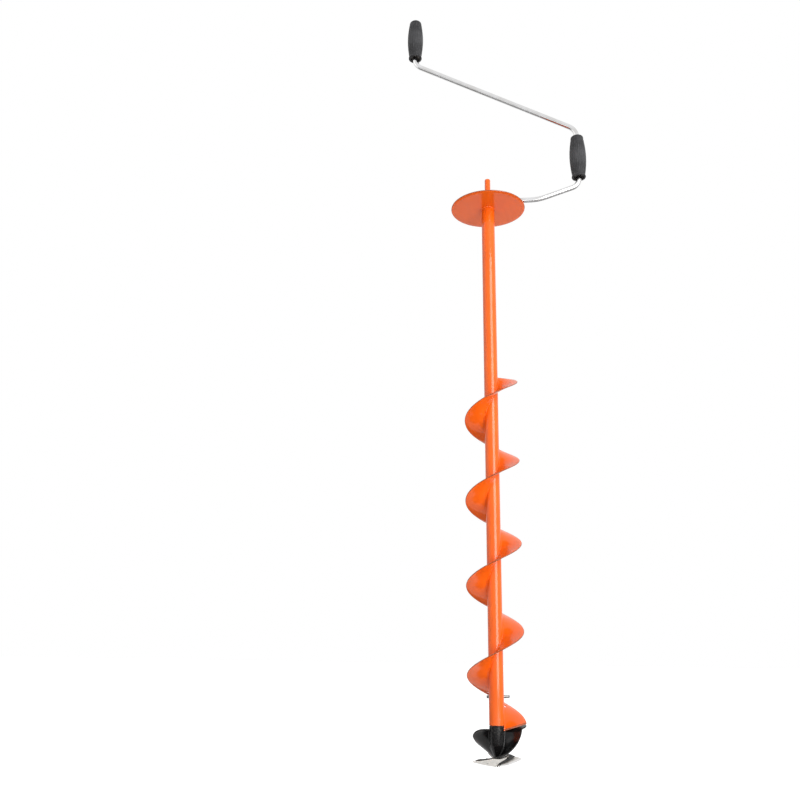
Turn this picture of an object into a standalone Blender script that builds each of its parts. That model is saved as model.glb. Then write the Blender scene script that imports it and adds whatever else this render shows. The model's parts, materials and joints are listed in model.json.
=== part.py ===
"""Hand ice auger with a removable two-blade head, a spiral flight, a stop disc and a double hand crank.

Origin: centre of the flat end of the drive stub. +Z runs up the auger's axis, +X points from the
axis to the lower grip, and the bent crank lies in the XZ plane. Heights below are measured up
from the centre point's tip, and an empty at the tip carries every piece.
"""

import math

import bmesh
import bpy
from mathutils import Matrix, Vector

MM = 0.001
GAP = 0.35 * MM                      # between pieces that touch

# Shaft
TUBE_R = 12.5 * MM
TUBE_BORE_R = 11.0 * MM
TUBE_BOTTOM = 63.0 * MM
DISC_BOTTOM = 1012.5 * MM
DISC_R = 71.7 * MM
DISC_T = 2.0 * MM
STUB_TOP = 1079.0 * MM               # the whole auger hangs this far below the origin

# Flight: height = FLIGHT_H0 + FLIGHT_PITCH * turns, counted from +X towards +Y
FLIGHT_R = 48.7 * MM
FLIGHT_PITCH = 147.4 * MM
FLIGHT_H0 = 66.1 * MM
FLIGHT_T = 2.0 * MM
FLIGHT_START_DEG = -24.0             # at the tube
FLIGHT_RIM_START_DEG = 3.0           # at the rim: the lower end is cut aslant
FLIGHT_END_DEG = 4 * 360.0 + 25.0
FLIGHT_STEP_DEG = 7.5

# Cutting head
SPIGOT_R = 10.6 * MM
SPIGOT_TOP = 124.0 * MM
HEAD_CONE_TOP = 34.0 * MM
NOSE_R = 4.5 * MM
NOSE_BOTTOM = 9.0 * MM
POINT_R = 2.4 * MM
POINT_SOCKET_TOP = 22.0 * MM
LEADING_EDGE_DEG = -137.0            # azimuth of the front scoop's leading edge
SCOOP_T = 2.6 * MM
SCOOP_EDGE_T = 1.0 * MM              # the leading edge is thinned
SCOOP_WAIST_R = 41.0 * MM
SCOOP_EDGE_R = 49.5 * MM
SCOOP_FRONT_SPAN_DEG = 166.0
SCOOP_BACK_SPAN_DEG = 154.0
SCOOP_BACK_START_DEG = 9.0           # cut back so that the back blade's top is bare
SCOOP_EAR_R = 52.5 * MM
SCOOP_EAR_RISE = 9.0 * MM            # the front scoop steepens, then flattens into its ear
SCOOP_EAR_FALL = 0.2 * MM            # per degree over the ear
SCOOP_EAR_DEG = 30.0
BLADE_R = 51.5 * MM
BLADE_T = 1.8 * MM
BLADE_SEAT = 0.9 * MM                # bedding gap between the blade and its scoop
BLADE_INNER_DROP = 0.9 * MM          # the blade's inner end stands further off the scoop
BLADE_INNER_R = 16.0 * MM
BLADE_CHORD = 31.0 * MM              # from the scoop's leading edge back
BLADE_OVERHANG = 7.0 * MM            # how far the edge leads the scoop
BLADE_BEVEL = 5.5 * MM
BLADE_TIP_T = 0.3 * MM
BLADE_SCREW_PLACES = ((15.0 * MM, 13.0 * MM), (33.0 * MM, 12.0 * MM))

# Wing screw that locks the head's spigot
WING_SCREW_HEIGHT = 107.0 * MM
WING_SCREW_AZIMUTH_DEG = 84.0
WING_SHANK_R = 4.0 * MM
WING_BOSS_R = 7.0 * MM
WING_BOSS_END = 18.0 * MM
WING_HUB_R = 6.6 * MM
WING_SPAN_R = 19.6 * MM
WING_T = 4.6 * MM
WING_TIP_START = 25.2 * MM           # the wings' tips, outwards from the auger's axis
WING_TIP_END = 31.6 * MM
WING_REST_TURN_DEG = 2.0             # +X wing a little up
WING_CLEARANCE = 0.8 * MM            # between the turning wings and the window cut in the flight

# Hub and stub above the disc
HUB_R = 14.0 * MM
HUB_TOP = 1046.0 * MM
HUB_SPIGOT_BOTTOM = 985.0 * MM
STUB_R = 5.5 * MM
STUB_SHANK_R = 4.0 * MM
STUB_SHANK_BOTTOM = 1038.4 * MM
CLAMP_SHANK_R = 3.0 * MM
CLAMP_KNOB_R = 8.0 * MM

# Crank
ROD_R = 5.0 * MM
ROD_BORE_R = ROD_R + GAP
ROD_HEIGHT_IN_HUB = 1030.0 * MM
ROD_INNER_END_X = -11.0 * MM
LOWER_GRIP_X = 178.6 * MM
UPPER_GRIP_X = -146.5 * MM
ROD_TOP = 1453.0 * MM
ROD_SIDES = 16

# Grips
LOWER_GRIP_BOTTOM = 1074.5 * MM
LOWER_GRIP_TOP = 1165.5 * MM
UPPER_GRIP_BOTTOM = 1374.0 * MM
UPPER_GRIP_TOP = 1465.0 * MM
GRIP_BELLY_R = 16.2 * MM
GRIP_END_R = 12.6 * MM
GRIP_LIP_R = 13.6 * MM
SLEEVE_R = 6.55 * MM
GRIP_BORE_R = SLEEVE_R + GAP
GRIP_RECESS_R = 9.6 * MM
WASHER_R = 8.8 * MM
WASHER_T = 1.5 * MM
WASHER_INSET = 3.6 * MM              # from the grip's ends
GRIP_RECESS = 5.5 * MM               # depth of the recess the washer sits in
RETAINER_INSET = 16.6 * MM           # from the upper grip's top to the retainer's underside
ROUND_SIDES = 32

ORANGE = (0.86, 0.16, 0.03)
BLACK = (0.02, 0.02, 0.022)


# ---------------------------------------------------------------- materials and objects

def material(name, colour, roughness, metallic):
    made = bpy.data.materials.new(name)
    made.use_nodes = True
    shader = made.node_tree.nodes["Principled BSDF"]
    shader.inputs["Base Color"].default_value = (*colour, 1.0)
    shader.inputs["Roughness"].default_value = roughness
    shader.inputs["Metallic"].default_value = metallic
    return made


def empty(name, location, parent=None):
    made = bpy.data.objects.new(name, None)
    made.location = location
    made.parent = parent
    bpy.context.collection.objects.link(made)
    return made


def finish(name, bm, look, parent, location=(0, 0, 0), turn_deg=0.0):
    """Turn a bmesh into a named object under its parent."""
    bmesh.ops.remove_doubles(bm, verts=bm.verts, dist=1e-7)
    bmesh.ops.recalc_face_normals(bm, faces=bm.faces)
    mesh = bpy.data.meshes.new(name)
    bm.to_mesh(mesh)
    bm.free()
    mesh.shade_smooth()
    mesh.set_sharp_from_angle(angle=math.radians(35))
    made = bpy.data.objects.new(name, mesh)
    if look is not None:
        mesh.materials.append(look)
    made.parent = parent
    made.location = location
    made.rotation_euler[2] = math.radians(turn_deg)
    bpy.context.collection.objects.link(made)
    return made


def boolean(target, tool, operation="DIFFERENCE"):
    """Cut a tool out of a target, or join it on."""
    tool.hide_render = True
    tool.display_type = "WIRE"
    modifier = target.modifiers.new(tool.name, "BOOLEAN")
    modifier.operation = operation
    modifier.solver = "EXACT"
    modifier.object = tool


# ---------------------------------------------------------------- shape helpers

def turned(profile, closed, sides=ROUND_SIDES):
    """Solid of revolution about Z from (radius, height) points; radius 0 ends on the axis."""
    bm = bmesh.new()
    rings = []
    for radius, height in profile:
        if radius == 0:
            rings.append([bm.verts.new((0, 0, height))])
            continue
        angles = [2 * math.pi * i / sides for i in range(sides)]
        rings.append([bm.verts.new((radius * math.cos(a), radius * math.sin(a), height)) for a in angles])
    pairs = list(zip(rings, rings[1:]))
    if closed:
        pairs.append((rings[-1], rings[0]))
    for low, high in pairs:
        for i in range(sides):
            corners = [low[i % len(low)], low[(i + 1) % len(low)]]
            corners += [high[(i + 1) % len(high)], high[i % len(high)]]
            bm.faces.new(list(dict.fromkeys(corners)))
    return bm


def along_y(bm):
    """Lay a shape turned about Z on the Y axis, its height running to +Y."""
    bmesh.ops.rotate(bm, verts=bm.verts, cent=(0, 0, 0), matrix=Matrix.Rotation(-math.pi / 2, 3, "X"))
    return bm


def along_x(bm):
    bmesh.ops.rotate(bm, verts=bm.verts, cent=(0, 0, 0), matrix=Matrix.Rotation(math.pi / 2, 3, "Y"))
    return bm


def rod_profile(radius, start, end):
    return [(0, start), (radius, start), (radius, end), (0, end)]


def plate_from_grid(tops, bottoms):
    """Closed plate between two equal grids of points."""
    bm = bmesh.new()
    top = [[bm.verts.new(p) for p in row] for row in tops]
    low = [[bm.verts.new(p) for p in row] for row in bottoms]
    rows, columns = len(top), len(top[0])
    for i in range(rows - 1):
        for j in range(columns - 1):
            bm.faces.new((top[i][j], top[i + 1][j], top[i + 1][j + 1], top[i][j + 1]))
            bm.faces.new((low[i][j], low[i][j + 1], low[i + 1][j + 1], low[i + 1][j]))
    border = [(0, j) for j in range(columns)] + [(i, columns - 1) for i in range(1, rows)]
    border += [(rows - 1, j) for j in range(columns - 2, -1, -1)] + [(i, 0) for i in range(rows - 2, 0, -1)]
    for (a, b), (c, d) in zip(border, border[1:] + border[:1]):
        bm.faces.new((top[a][b], top[c][d], low[c][d], low[a][b]))
    bmesh.ops.triangulate(bm, faces=bm.faces)
    return bm


def smoothstep(low, high, value):
    x = min(max((value - low) / (high - low), 0.0), 1.0)
    return x * x * (3 - 2 * x)


def rounded_path(corners, radii, step_deg=9.0):
    """Centre line through corners, each inner corner replaced by an arc of the given radius."""
    points = [Vector(corners[0])]
    for before, corner, after, radius in zip(corners, corners[1:], corners[2:], radii):
        corner = Vector(corner)
        into = (corner - Vector(before)).normalized()
        out = (Vector(after) - corner).normalized()
        turn = into.angle(out)
        reach = radius * math.tan(turn / 2)
        start = corner - into * reach
        inward = (out - into * into.dot(out)).normalized()
        centre = start + inward * radius
        steps = max(2, round(math.degrees(turn) / step_deg))
        for i in range(steps + 1):
            angle = turn * i / steps
            points.append(centre - inward * radius * math.cos(angle) + into * radius * math.sin(angle))
    points.append(Vector(corners[-1]))
    return points


def swept_round(points, radius, sides):
    """Round bar along a centre line that lies in the XZ plane, with chamfered ends."""
    bm = bmesh.new()
    across = Vector((0, 1, 0))
    chamfer = 0.2 * radius
    rings = []

    def ring(centre, tangent, size):
        up = tangent.cross(across).normalized()
        angles = [2 * math.pi * i / sides for i in range(sides)]
        return [bm.verts.new(centre + (across * math.cos(a) + up * math.sin(a)) * size) for a in angles]

    for i, point in enumerate(points):
        before = points[max(i - 1, 0)]
        after = points[min(i + 1, len(points) - 1)]
        tangent = (after - before).normalized()
        if i == 0:
            rings.append(ring(point, tangent, radius - chamfer))
            point = point + tangent * chamfer
        if i == len(points) - 1:
            rings.append(ring(point - tangent * chamfer, tangent, radius))
            rings.append(ring(point, tangent, radius - chamfer))
        else:
            rings.append(ring(point, tangent, radius))
    for low, high in zip(rings, rings[1:]):
        for i in range(sides):
            j = (i + 1) % sides
            bm.faces.new((low[i], low[j], high[j], high[i]))
    bm.faces.new(list(reversed(rings[0])))
    bm.faces.new(rings[-1])
    return bm


# ---------------------------------------------------------------- shaft

def make_tube(datum, look, wing_axis):
    """Tube with a hole for the wing screw."""
    top = DISC_BOTTOM - GAP
    profile = [(TUBE_BORE_R, TUBE_BOTTOM), (TUBE_R, TUBE_BOTTOM), (TUBE_R, top), (TUBE_BORE_R, top)]
    tube = finish("shaft_tube", turned(profile, closed=True), look, datum)
    hole = turned(rod_profile(WING_SHANK_R + GAP, 0.5 * TUBE_R, 1.5 * TUBE_R), closed=False, sides=24)
    boolean(tube, finish("cut_tube_hole", along_y(hole), None, wing_axis))


def flight_point(radius, degrees, offset):
    """Point on the flight's spiral, offset up or down by half its thickness."""
    return polar(degrees, radius, FLIGHT_H0 + FLIGHT_PITCH * degrees / 360 + offset)


def make_flight(datum, look, wing_axis):
    """Spiral plate around the tube, with a window in which the wing screw turns."""
    steps = round((FLIGHT_END_DEG - FLIGHT_START_DEG) / FLIGHT_STEP_DEG)
    tops, bottoms = [], []
    for i in range(steps + 1):
        ends = ((TUBE_R + GAP, FLIGHT_START_DEG), (FLIGHT_R, FLIGHT_RIM_START_DEG))
        row = [(radius, start + (FLIGHT_END_DEG - start) * i / steps) for radius, start in ends]
        tops.append([flight_point(radius, degrees, FLIGHT_T / 2) for radius, degrees in row])
        bottoms.append([flight_point(radius, degrees, -FLIGHT_T / 2) for radius, degrees in row])
    flight = finish("flight", plate_from_grid(tops, bottoms), look, datum)
    narrow, wide = WING_HUB_R + WING_CLEARANCE, WING_SPAN_R + WING_CLEARANCE
    start, end = WING_TIP_START - WING_CLEARANCE, WING_TIP_END + WING_CLEARANCE
    window = [(0, 0.5 * TUBE_R), (narrow, 0.5 * TUBE_R), (narrow, WING_BOSS_END + 2 * MM)]
    window += [(wide, start), (wide, end), (0, end)]
    boolean(flight, finish("cut_flight_window", along_y(turned(window, closed=False)), None, wing_axis))


def make_disc(datum, look):
    """Thin stop disc with a rounded rim."""
    bevel = 0.6 * MM
    low, high = DISC_BOTTOM, DISC_BOTTOM + DISC_T
    hole_r = TUBE_BORE_R
    profile = [(hole_r, low), (DISC_R - bevel, low), (DISC_R, low + bevel)]
    profile += [(DISC_R, high - bevel), (DISC_R - bevel, high), (hole_r, high)]
    finish("stop_disc", turned(profile, closed=True, sides=64), look, datum)


def make_disc_collar(datum, look):
    """Weld fillet where the tube meets the disc's underside."""
    width, drop, steps = 1.6 * MM, 2.6 * MM, 4
    inner = TUBE_R + GAP
    top = DISC_BOTTOM - GAP
    profile = [(inner, top)]
    for i in range(steps + 1):
        angle = math.pi / 2 * i / steps
        radius = inner + 0.4 * MM + width * (1 - math.sin(angle))
        profile.append((radius, top - drop * (1 - math.cos(angle))))
    profile.append((inner, top - drop))
    finish("disc_collar", turned(profile, closed=True, sides=48), look, datum)


def make_hub(datum, look, clamp_axis):
    """Hub with a spigot in the tube, the rod's cross bore, the clamp screw's hole and the stub's socket."""
    chamfer = 1.2 * MM
    low = DISC_BOTTOM + DISC_T + GAP
    spigot_r = TUBE_BORE_R - GAP
    socket_r = STUB_SHANK_R + GAP
    socket_bottom = STUB_SHANK_BOTTOM - GAP
    profile = [(0, HUB_SPIGOT_BOTTOM), (spigot_r - chamfer, HUB_SPIGOT_BOTTOM)]
    profile += [(spigot_r, HUB_SPIGOT_BOTTOM + chamfer), (spigot_r, low), (HUB_R, low)]
    profile += [(HUB_R, HUB_TOP - chamfer), (HUB_R - chamfer, HUB_TOP), (socket_r, HUB_TOP)]
    profile += [(socket_r, socket_bottom), (0, socket_bottom)]
    hub = finish("crank_hub", turned(profile, closed=False), look, datum)
    bore = turned(rod_profile(ROD_BORE_R, -1.5 * HUB_R, 1.5 * HUB_R), closed=False, sides=24)
    boolean(hub, finish("cut_cross_bore", along_x(bore), None, datum, (0, 0, ROD_HEIGHT_IN_HUB)))
    hole = turned(rod_profile(CLAMP_SHANK_R + GAP, 0, 1.5 * HUB_R), closed=False, sides=20)
    boolean(hub, finish("cut_clamp_hole", along_y(hole), None, clamp_axis))


def make_stub(datum, look):
    """Drive stub with a rounded shoulder and a flat end."""
    low = HUB_TOP + GAP
    profile = [(0, STUB_SHANK_BOTTOM), (STUB_SHANK_R, STUB_SHANK_BOTTOM), (STUB_SHANK_R, low), (STUB_R, low)]
    round_r = 2.6 * MM
    for i in range(5):
        angle = math.pi / 2 * i / 4
        radius = STUB_R - round_r * (1 - math.cos(angle))
        profile.append((radius, STUB_TOP - round_r * (1 - math.sin(angle))))
    profile.append((0, STUB_TOP))
    finish("drive_stub", turned(profile, closed=False, sides=24), look, datum)


# ---------------------------------------------------------------- screws that a hand turns

def make_wing_boss(datum, look, wing_axis):
    bore = WING_SHANK_R + GAP
    profile = [(bore, 0.7 * TUBE_R), (WING_BOSS_R, 0.7 * TUBE_R), (WING_BOSS_R, WING_BOSS_END - MM)]
    profile += [(WING_BOSS_R - MM, WING_BOSS_END), (bore, WING_BOSS_END)]
    boss = finish("wing_screw_boss", along_y(turned(profile, closed=True)), look, wing_axis)
    saddle = turned(rod_profile(TUBE_R + GAP, -2 * WING_BOSS_R, 2 * WING_BOSS_R), closed=False, sides=64)
    boolean(boss, finish("cut_saddle", saddle, None, wing_axis))


def wing_outline():
    """Half of the wings' outline (x outwards, y away from the tube), root to tip and back."""
    root = WING_BOSS_END + 3.4 * MM
    centre_y = (WING_TIP_START + WING_TIP_END) / 2
    round_r = (WING_TIP_END - WING_TIP_START) / 2
    centre_x = WING_SPAN_R - round_r
    points = [(0.0, root), (5.0 * MM, root)]
    for i in range(9):
        angle = math.radians(-70 + 180 * i / 8)
        points.append((centre_x + round_r * math.cos(angle), centre_y + round_r * math.sin(angle)))
    points += [(6.2 * MM, 27.4 * MM), (0.0, 27.4 * MM)]
    return points


def make_wing_screw(wing_axis, look):
    """Wing screw turned about +Y: shank, hub and two flat wings, joined."""
    start = SPIGOT_R + 2 * GAP
    hub_low, hub_top = WING_BOSS_END + GAP, 30.0 * MM
    profile = [(0, start), (WING_SHANK_R - MM, start), (WING_SHANK_R, start + MM), (WING_SHANK_R, hub_low)]
    profile += [(WING_HUB_R, hub_low), (WING_HUB_R, hub_low + 2 * MM), (0.8 * WING_HUB_R, hub_top - 2 * MM)]
    profile += [(0.55 * WING_HUB_R, hub_top), (0, hub_top)]
    screw = finish("wing_screw", along_y(turned(profile, closed=False, sides=24)), look, wing_axis)
    half = wing_outline()
    outline = half + [(-x, y) for x, y in reversed(half[1:-1])]
    bm = bmesh.new()
    face = bm.faces.new([bm.verts.new((x, y, -WING_T / 2)) for x, y in outline])
    made = bmesh.ops.extrude_face_region(bm, geom=[face])
    verts = [item for item in made["geom"] if isinstance(item, bmesh.types.BMVert)]
    bmesh.ops.translate(bm, verts=verts, vec=(0, 0, WING_T))
    wings = finish("join_wings", bm, None, wing_axis)
    boolean(screw, wings, "UNION")
    for turned_piece in (screw, wings):
        turned_piece.rotation_euler[1] = -math.radians(WING_REST_TURN_DEG)


def make_clamp_screw(clamp_axis, look):
    """Thumb screw that presses the rod in the hub."""
    start, neck, knob_low, knob_top = ROD_R + GAP, HUB_R + 2 * MM, HUB_R + 6 * MM, HUB_R + 13 * MM
    profile = [(0, start), (CLAMP_SHANK_R - MM, start), (CLAMP_SHANK_R, start + MM), (CLAMP_SHANK_R, neck)]
    profile += [(5 * MM, neck), (5 * MM, knob_low), (CLAMP_KNOB_R - MM, knob_low)]
    profile += [(CLAMP_KNOB_R, knob_low + MM), (CLAMP_KNOB_R, knob_top - MM), (CLAMP_KNOB_R - MM, knob_top)]
    profile += [(0, knob_top)]
    finish("clamp_screw", along_y(turned(profile, closed=False, sides=24)), look, clamp_axis)


# ---------------------------------------------------------------- crank

def rod_corners():
    """Corners of the crank's centre line in the XZ plane, and the bend radius at each inner one."""
    corners = [(ROD_INNER_END_X, ROD_HEIGHT_IN_HUB), (98 * MM, ROD_HEIGHT_IN_HUB)]
    corners += [(LOWER_GRIP_X, 1058.0 * MM), (LOWER_GRIP_X, 1183.5 * MM)]
    corners += [(UPPER_GRIP_X, 1358.0 * MM), (UPPER_GRIP_X, ROD_TOP)]
    radii = [90 * MM, 20 * MM, 28 * MM, 24 * MM]
    return [(x, 0.0, z) for x, z in corners], radii


def make_rod(crank, look):
    corners, radii = rod_corners()
    start = Vector((0, 0, ROD_HEIGHT_IN_HUB))
    points = [point - start for point in rounded_path(corners, radii)]
    finish("crank_rod", swept_round(points, ROD_R, ROD_SIDES), look, crank)


def grip_outside(length, rings=9):
    """Barrel outline with a flared lip at the bottom, bottom to top."""
    points = [(GRIP_LIP_R - MM, 0.0), (GRIP_LIP_R, MM), (GRIP_LIP_R, 3.5 * MM)]
    first, share = 0.07, 0.85
    for i in range(rings):
        along = i / (rings - 1)
        swell = max(math.sin(math.pi * along), 0.0) ** 0.8
        points.append((GRIP_END_R + (GRIP_BELLY_R - GRIP_END_R) * swell, length * (first + share * along)))
    return points


def make_grip(name, parent, look, length, closed_top):
    """Rubber grip in its own frame: height 0 at the grip's bottom."""
    inside = [(GRIP_BORE_R, GRIP_RECESS), (GRIP_RECESS_R, GRIP_RECESS), (GRIP_RECESS_R, 0.0)]
    outside = grip_outside(length)
    if closed_top:
        cavity_low, cavity_top = length - RETAINER_INSET - GAP, length - 8.0 * MM
        dome = [(GRIP_END_R - 0.4 * MM, length - 4.0 * MM), (GRIP_END_R - 2.6 * MM, length - 1.2 * MM)]
        dome += [(GRIP_END_R - 6.0 * MM, length), (0, length)]
        cavity = [(0, cavity_top), (GRIP_RECESS_R, cavity_top), (GRIP_RECESS_R, cavity_low)]
        cavity += [(GRIP_BORE_R, cavity_low)]
        bm = turned(cavity + inside + outside + dome, closed=False)
    else:
        rim = [(GRIP_END_R, length - 3.0 * MM), (GRIP_END_R - 1.4 * MM, length), (GRIP_RECESS_R, length)]
        rim += [(GRIP_RECESS_R, length - GRIP_RECESS), (GRIP_BORE_R, length - GRIP_RECESS)]
        bm = turned(inside + outside + rim, closed=True)
    finish(name, bm, look, parent)


def make_ring(name, parent, look, inner, outer, low, high):
    """Plain ring about the parent's Z axis."""
    profile = [(inner, low), (outer, low), (outer, high), (inner, high)]
    finish(name, turned(profile, closed=True, sides=24), look, parent)


def make_retainer(parent, look, low):
    """Push-on cap over the rod's end."""
    wall = 1.2 * MM
    outer = ROD_BORE_R + wall
    inside_top = low + 5.5 * MM
    profile = [(0, inside_top + wall), (outer, inside_top + wall), (outer, low + wall)]
    profile += [(WASHER_R, low + wall), (WASHER_R, low)]
    profile += [(ROD_BORE_R, low), (ROD_BORE_R, inside_top), (0, inside_top)]
    finish("upper_grip_retainer", turned(profile, closed=False, sides=24), look, parent)


# ---------------------------------------------------------------- cutting head

def head_radius(height):
    """Outer radius of the head's body at a height: a cone below, a cylinder above."""
    part = smoothstep(NOSE_BOTTOM, HEAD_CONE_TOP, height)
    return NOSE_R + (TUBE_R - NOSE_R) * part


def make_head_body(head, look):
    socket_r = POINT_R + GAP
    profile = [(0, POINT_SOCKET_TOP), (socket_r, POINT_SOCKET_TOP), (socket_r, NOSE_BOTTOM)]
    steps = 8
    for i in range(steps + 1):
        height = NOSE_BOTTOM + (HEAD_CONE_TOP - NOSE_BOTTOM) * i / steps
        profile.append((head_radius(height), height))
    collar_top = TUBE_BOTTOM - GAP
    profile += [(TUBE_R, collar_top - 0.5 * MM), (TUBE_R - 0.5 * MM, collar_top), (0, collar_top)]
    finish("head_body", turned(profile, closed=False), look, head)


def make_spigot(head, look):
    """Bar on the head's body that goes up inside the tube."""
    chamfer = 2 * MM
    profile = [(0, TUBE_BOTTOM), (SPIGOT_R, TUBE_BOTTOM), (SPIGOT_R, SPIGOT_TOP - chamfer)]
    profile += [(SPIGOT_R - chamfer, SPIGOT_TOP), (0, SPIGOT_TOP)]
    finish("head_spigot", turned(profile, closed=False), look, head)


def rim_height(degrees):
    """Height of the scoop's underside at its rim, by angle behind the leading edge."""
    ease, lead = 75.0, 10.0
    return 12.5 * MM + 0.41 * MM * (math.hypot(degrees + lead, ease) - math.hypot(lead, ease))


def rim_radius(degrees, span, flared):
    """Scoop's outline: wide at the leading edge, a waist, then an ear or a rounded end."""
    radius = SCOOP_WAIST_R + (SCOOP_EDGE_R - SCOOP_WAIST_R) * (1 - smoothstep(-20, 80, degrees))
    if flared:
        return radius + (SCOOP_EAR_R - SCOOP_WAIST_R) * smoothstep(span - 34, span - 6, degrees)
    round_start = span - 34
    part = min(max((degrees - round_start) / (span - round_start), 0.0), 1.0)
    end_r = 0.55 * radius
    return end_r + (radius - end_r) * math.sqrt(1 - part * part)


def scoop_height(degrees, radius):
    """Scoop's underside: a spiral whose lower part is dished down towards the axis."""
    rise = rim_height(degrees) - rim_height(0)
    dish = (9.0 * MM + 0.55 * rise) * (1 - smoothstep(70, 150, degrees))
    part = min(max(radius / SCOOP_EDGE_R, 0.0), 1.0)
    return rim_height(degrees) - dish * (1 - part ** 1.6)


def scoop_thickness(degrees, start):
    return SCOOP_EDGE_T + (SCOOP_T - SCOOP_EDGE_T) * smoothstep(start, start + 10, degrees)


def ear_lift(degrees, span):
    """How far the front scoop stands above the plain spiral."""
    ear_start = span - SCOOP_EAR_DEG
    return SCOOP_EAR_RISE * smoothstep(50, ear_start, degrees) - SCOOP_EAR_FALL * max(degrees - ear_start, 0)


def scoop_inner_radius(degrees, lift):
    """Radius where the scoop's top meets the head's body, with the joint gap."""
    radius = TUBE_R
    for _ in range(4):
        radius = head_radius(scoop_height(degrees, radius) + lift + SCOOP_T) + GAP
    return radius


def polar(degrees, radius, height):
    angle = math.radians(degrees)
    return Vector((radius * math.cos(angle), radius * math.sin(angle), height))


def make_scoop(name, head, look, start, span, flared, turn_deg):
    steps, bands = 20, 6
    tops, bottoms = [], []
    for i in range(steps + 1):
        degrees = start + (span - start) * i / steps
        lift = ear_lift(degrees, span) if flared else 0.0
        inner = scoop_inner_radius(degrees, lift)
        outer = rim_radius(degrees, span, flared)
        radii = [inner + (outer - inner) * j / bands for j in range(bands + 1)]
        low = [polar(degrees, radius, scoop_height(degrees, radius) + lift) for radius in radii]
        bottoms.append(low)
        tops.append([point + Vector((0, 0, scoop_thickness(degrees, start))) for point in low])
    return finish(name, plate_from_grid(tops, bottoms), look, head, turn_deg=turn_deg)


def blade_point(along, behind):
    """Point of the blade's top face: along the cutting edge, and behind it."""
    radius = math.hypot(along, behind)
    degrees = math.degrees(math.atan2(behind, along))
    drop = BLADE_SEAT + BLADE_INNER_DROP * (1 - smoothstep(POINT_R, BLADE_INNER_R, radius))
    return Vector((along, behind, scoop_height(degrees, radius) - drop))


def make_blade(name, head, look, turn_deg):
    """Dished blade with its top ground to a thin edge and its outer end cut round."""
    rows, columns = 12, 8
    stations = [-BLADE_OVERHANG, -BLADE_OVERHANG + BLADE_BEVEL]
    rest = BLADE_CHORD - stations[1]
    stations += [stations[1] + rest * (j + 1) / (columns - 2) for j in range(columns - 2)]
    tops, bottoms = [], []
    for i in range(rows + 1):
        top_row, bottom_row = [], []
        for j, behind in enumerate(stations):
            start = POINT_R + 1.2 * MM + 0.15 * max(behind, 0)
            end = math.sqrt(BLADE_R ** 2 - behind ** 2)
            point = blade_point(start + (end - start) * i / rows, behind)
            low = point - Vector((0, 0, BLADE_T))
            top_row.append(low + Vector((0, 0, BLADE_TIP_T)) if j == 0 else point)
            bottom_row.append(low)
        tops.append(top_row)
        bottoms.append(bottom_row)
    return finish(name, plate_from_grid(tops, bottoms), look, head, turn_deg=turn_deg)


def plate_frame(along, behind):
    """Place on the scoop's underside with the plate's normal as its Z axis."""
    step = 0.5 * MM
    here = blade_point(along, behind)
    slope_x = blade_point(along + step, behind) - here
    slope_y = blade_point(along, behind + step) - here
    normal = slope_x.cross(slope_y).normalized()
    return Matrix.Translation(here) @ normal.to_track_quat("Z", "Y").to_matrix().to_4x4()


def add_blade_screws(head, look, scoop, blade, turn_deg, first):
    """Two button-head screws from above, each in holes through the scoop and the blade."""
    turn = Matrix.Rotation(math.radians(turn_deg), 4, "Z")
    shank_r, head_r, head_t = 1.8 * MM, 3.2 * MM, 2.0 * MM
    seat = BLADE_SEAT + SCOOP_T + 2 * GAP
    for i, (along, behind) in enumerate(BLADE_SCREW_PLACES):
        place = turn @ plate_frame(along, behind)
        profile = [(0, 0.4 * MM - BLADE_T), (shank_r, 0.4 * MM - BLADE_T), (shank_r, seat), (head_r, seat)]
        profile += [(head_r, seat + 0.5 * head_t), (0.7 * head_r, seat + head_t), (0, seat + head_t)]
        bm = turned(profile, closed=False, sides=16)
        bmesh.ops.transform(bm, matrix=place, verts=bm.verts)
        finish(f"blade_screw_{first + i}", bm, look, head)
        for target in (scoop, blade):
            bm = turned(rod_profile(shank_r + GAP, -4 * BLADE_T, 4 * SCOOP_T), closed=False, sides=16)
            bmesh.ops.transform(bm, matrix=place, verts=bm.verts)
            boolean(target, finish(f"cut_{target.name}_{i}", bm, None, head))


def make_centre_point(head, look):
    """Short spur with a flat end, its shank in the head's nose."""
    top = POINT_SOCKET_TOP - GAP
    profile = [(0, 0), (1.3 * MM, 0), (POINT_R, 5 * MM), (POINT_R, top), (0, top)]
    finish("centre_point", turned(profile, closed=False, sides=16), look, head)


def make_cutting_head(head, black, ground_steel, dark_steel):
    make_head_body(head, black)
    make_spigot(head, black)
    front = ("front", 0.0, SCOOP_FRONT_SPAN_DEG, True)
    back = ("back", SCOOP_BACK_START_DEG, SCOOP_BACK_SPAN_DEG, False)
    for i, (side, start, span, flared) in enumerate((front, back)):
        turn_deg = LEADING_EDGE_DEG + 180 * i
        scoop = make_scoop(f"scoop_{side}", head, black, start, span, flared, turn_deg)
        blade = make_blade(f"blade_{side}", head, ground_steel, turn_deg)
        add_blade_screws(head, dark_steel, scoop, blade, turn_deg, 1 + 2 * i)
    make_centre_point(head, dark_steel)


# ---------------------------------------------------------------- whole auger

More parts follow.
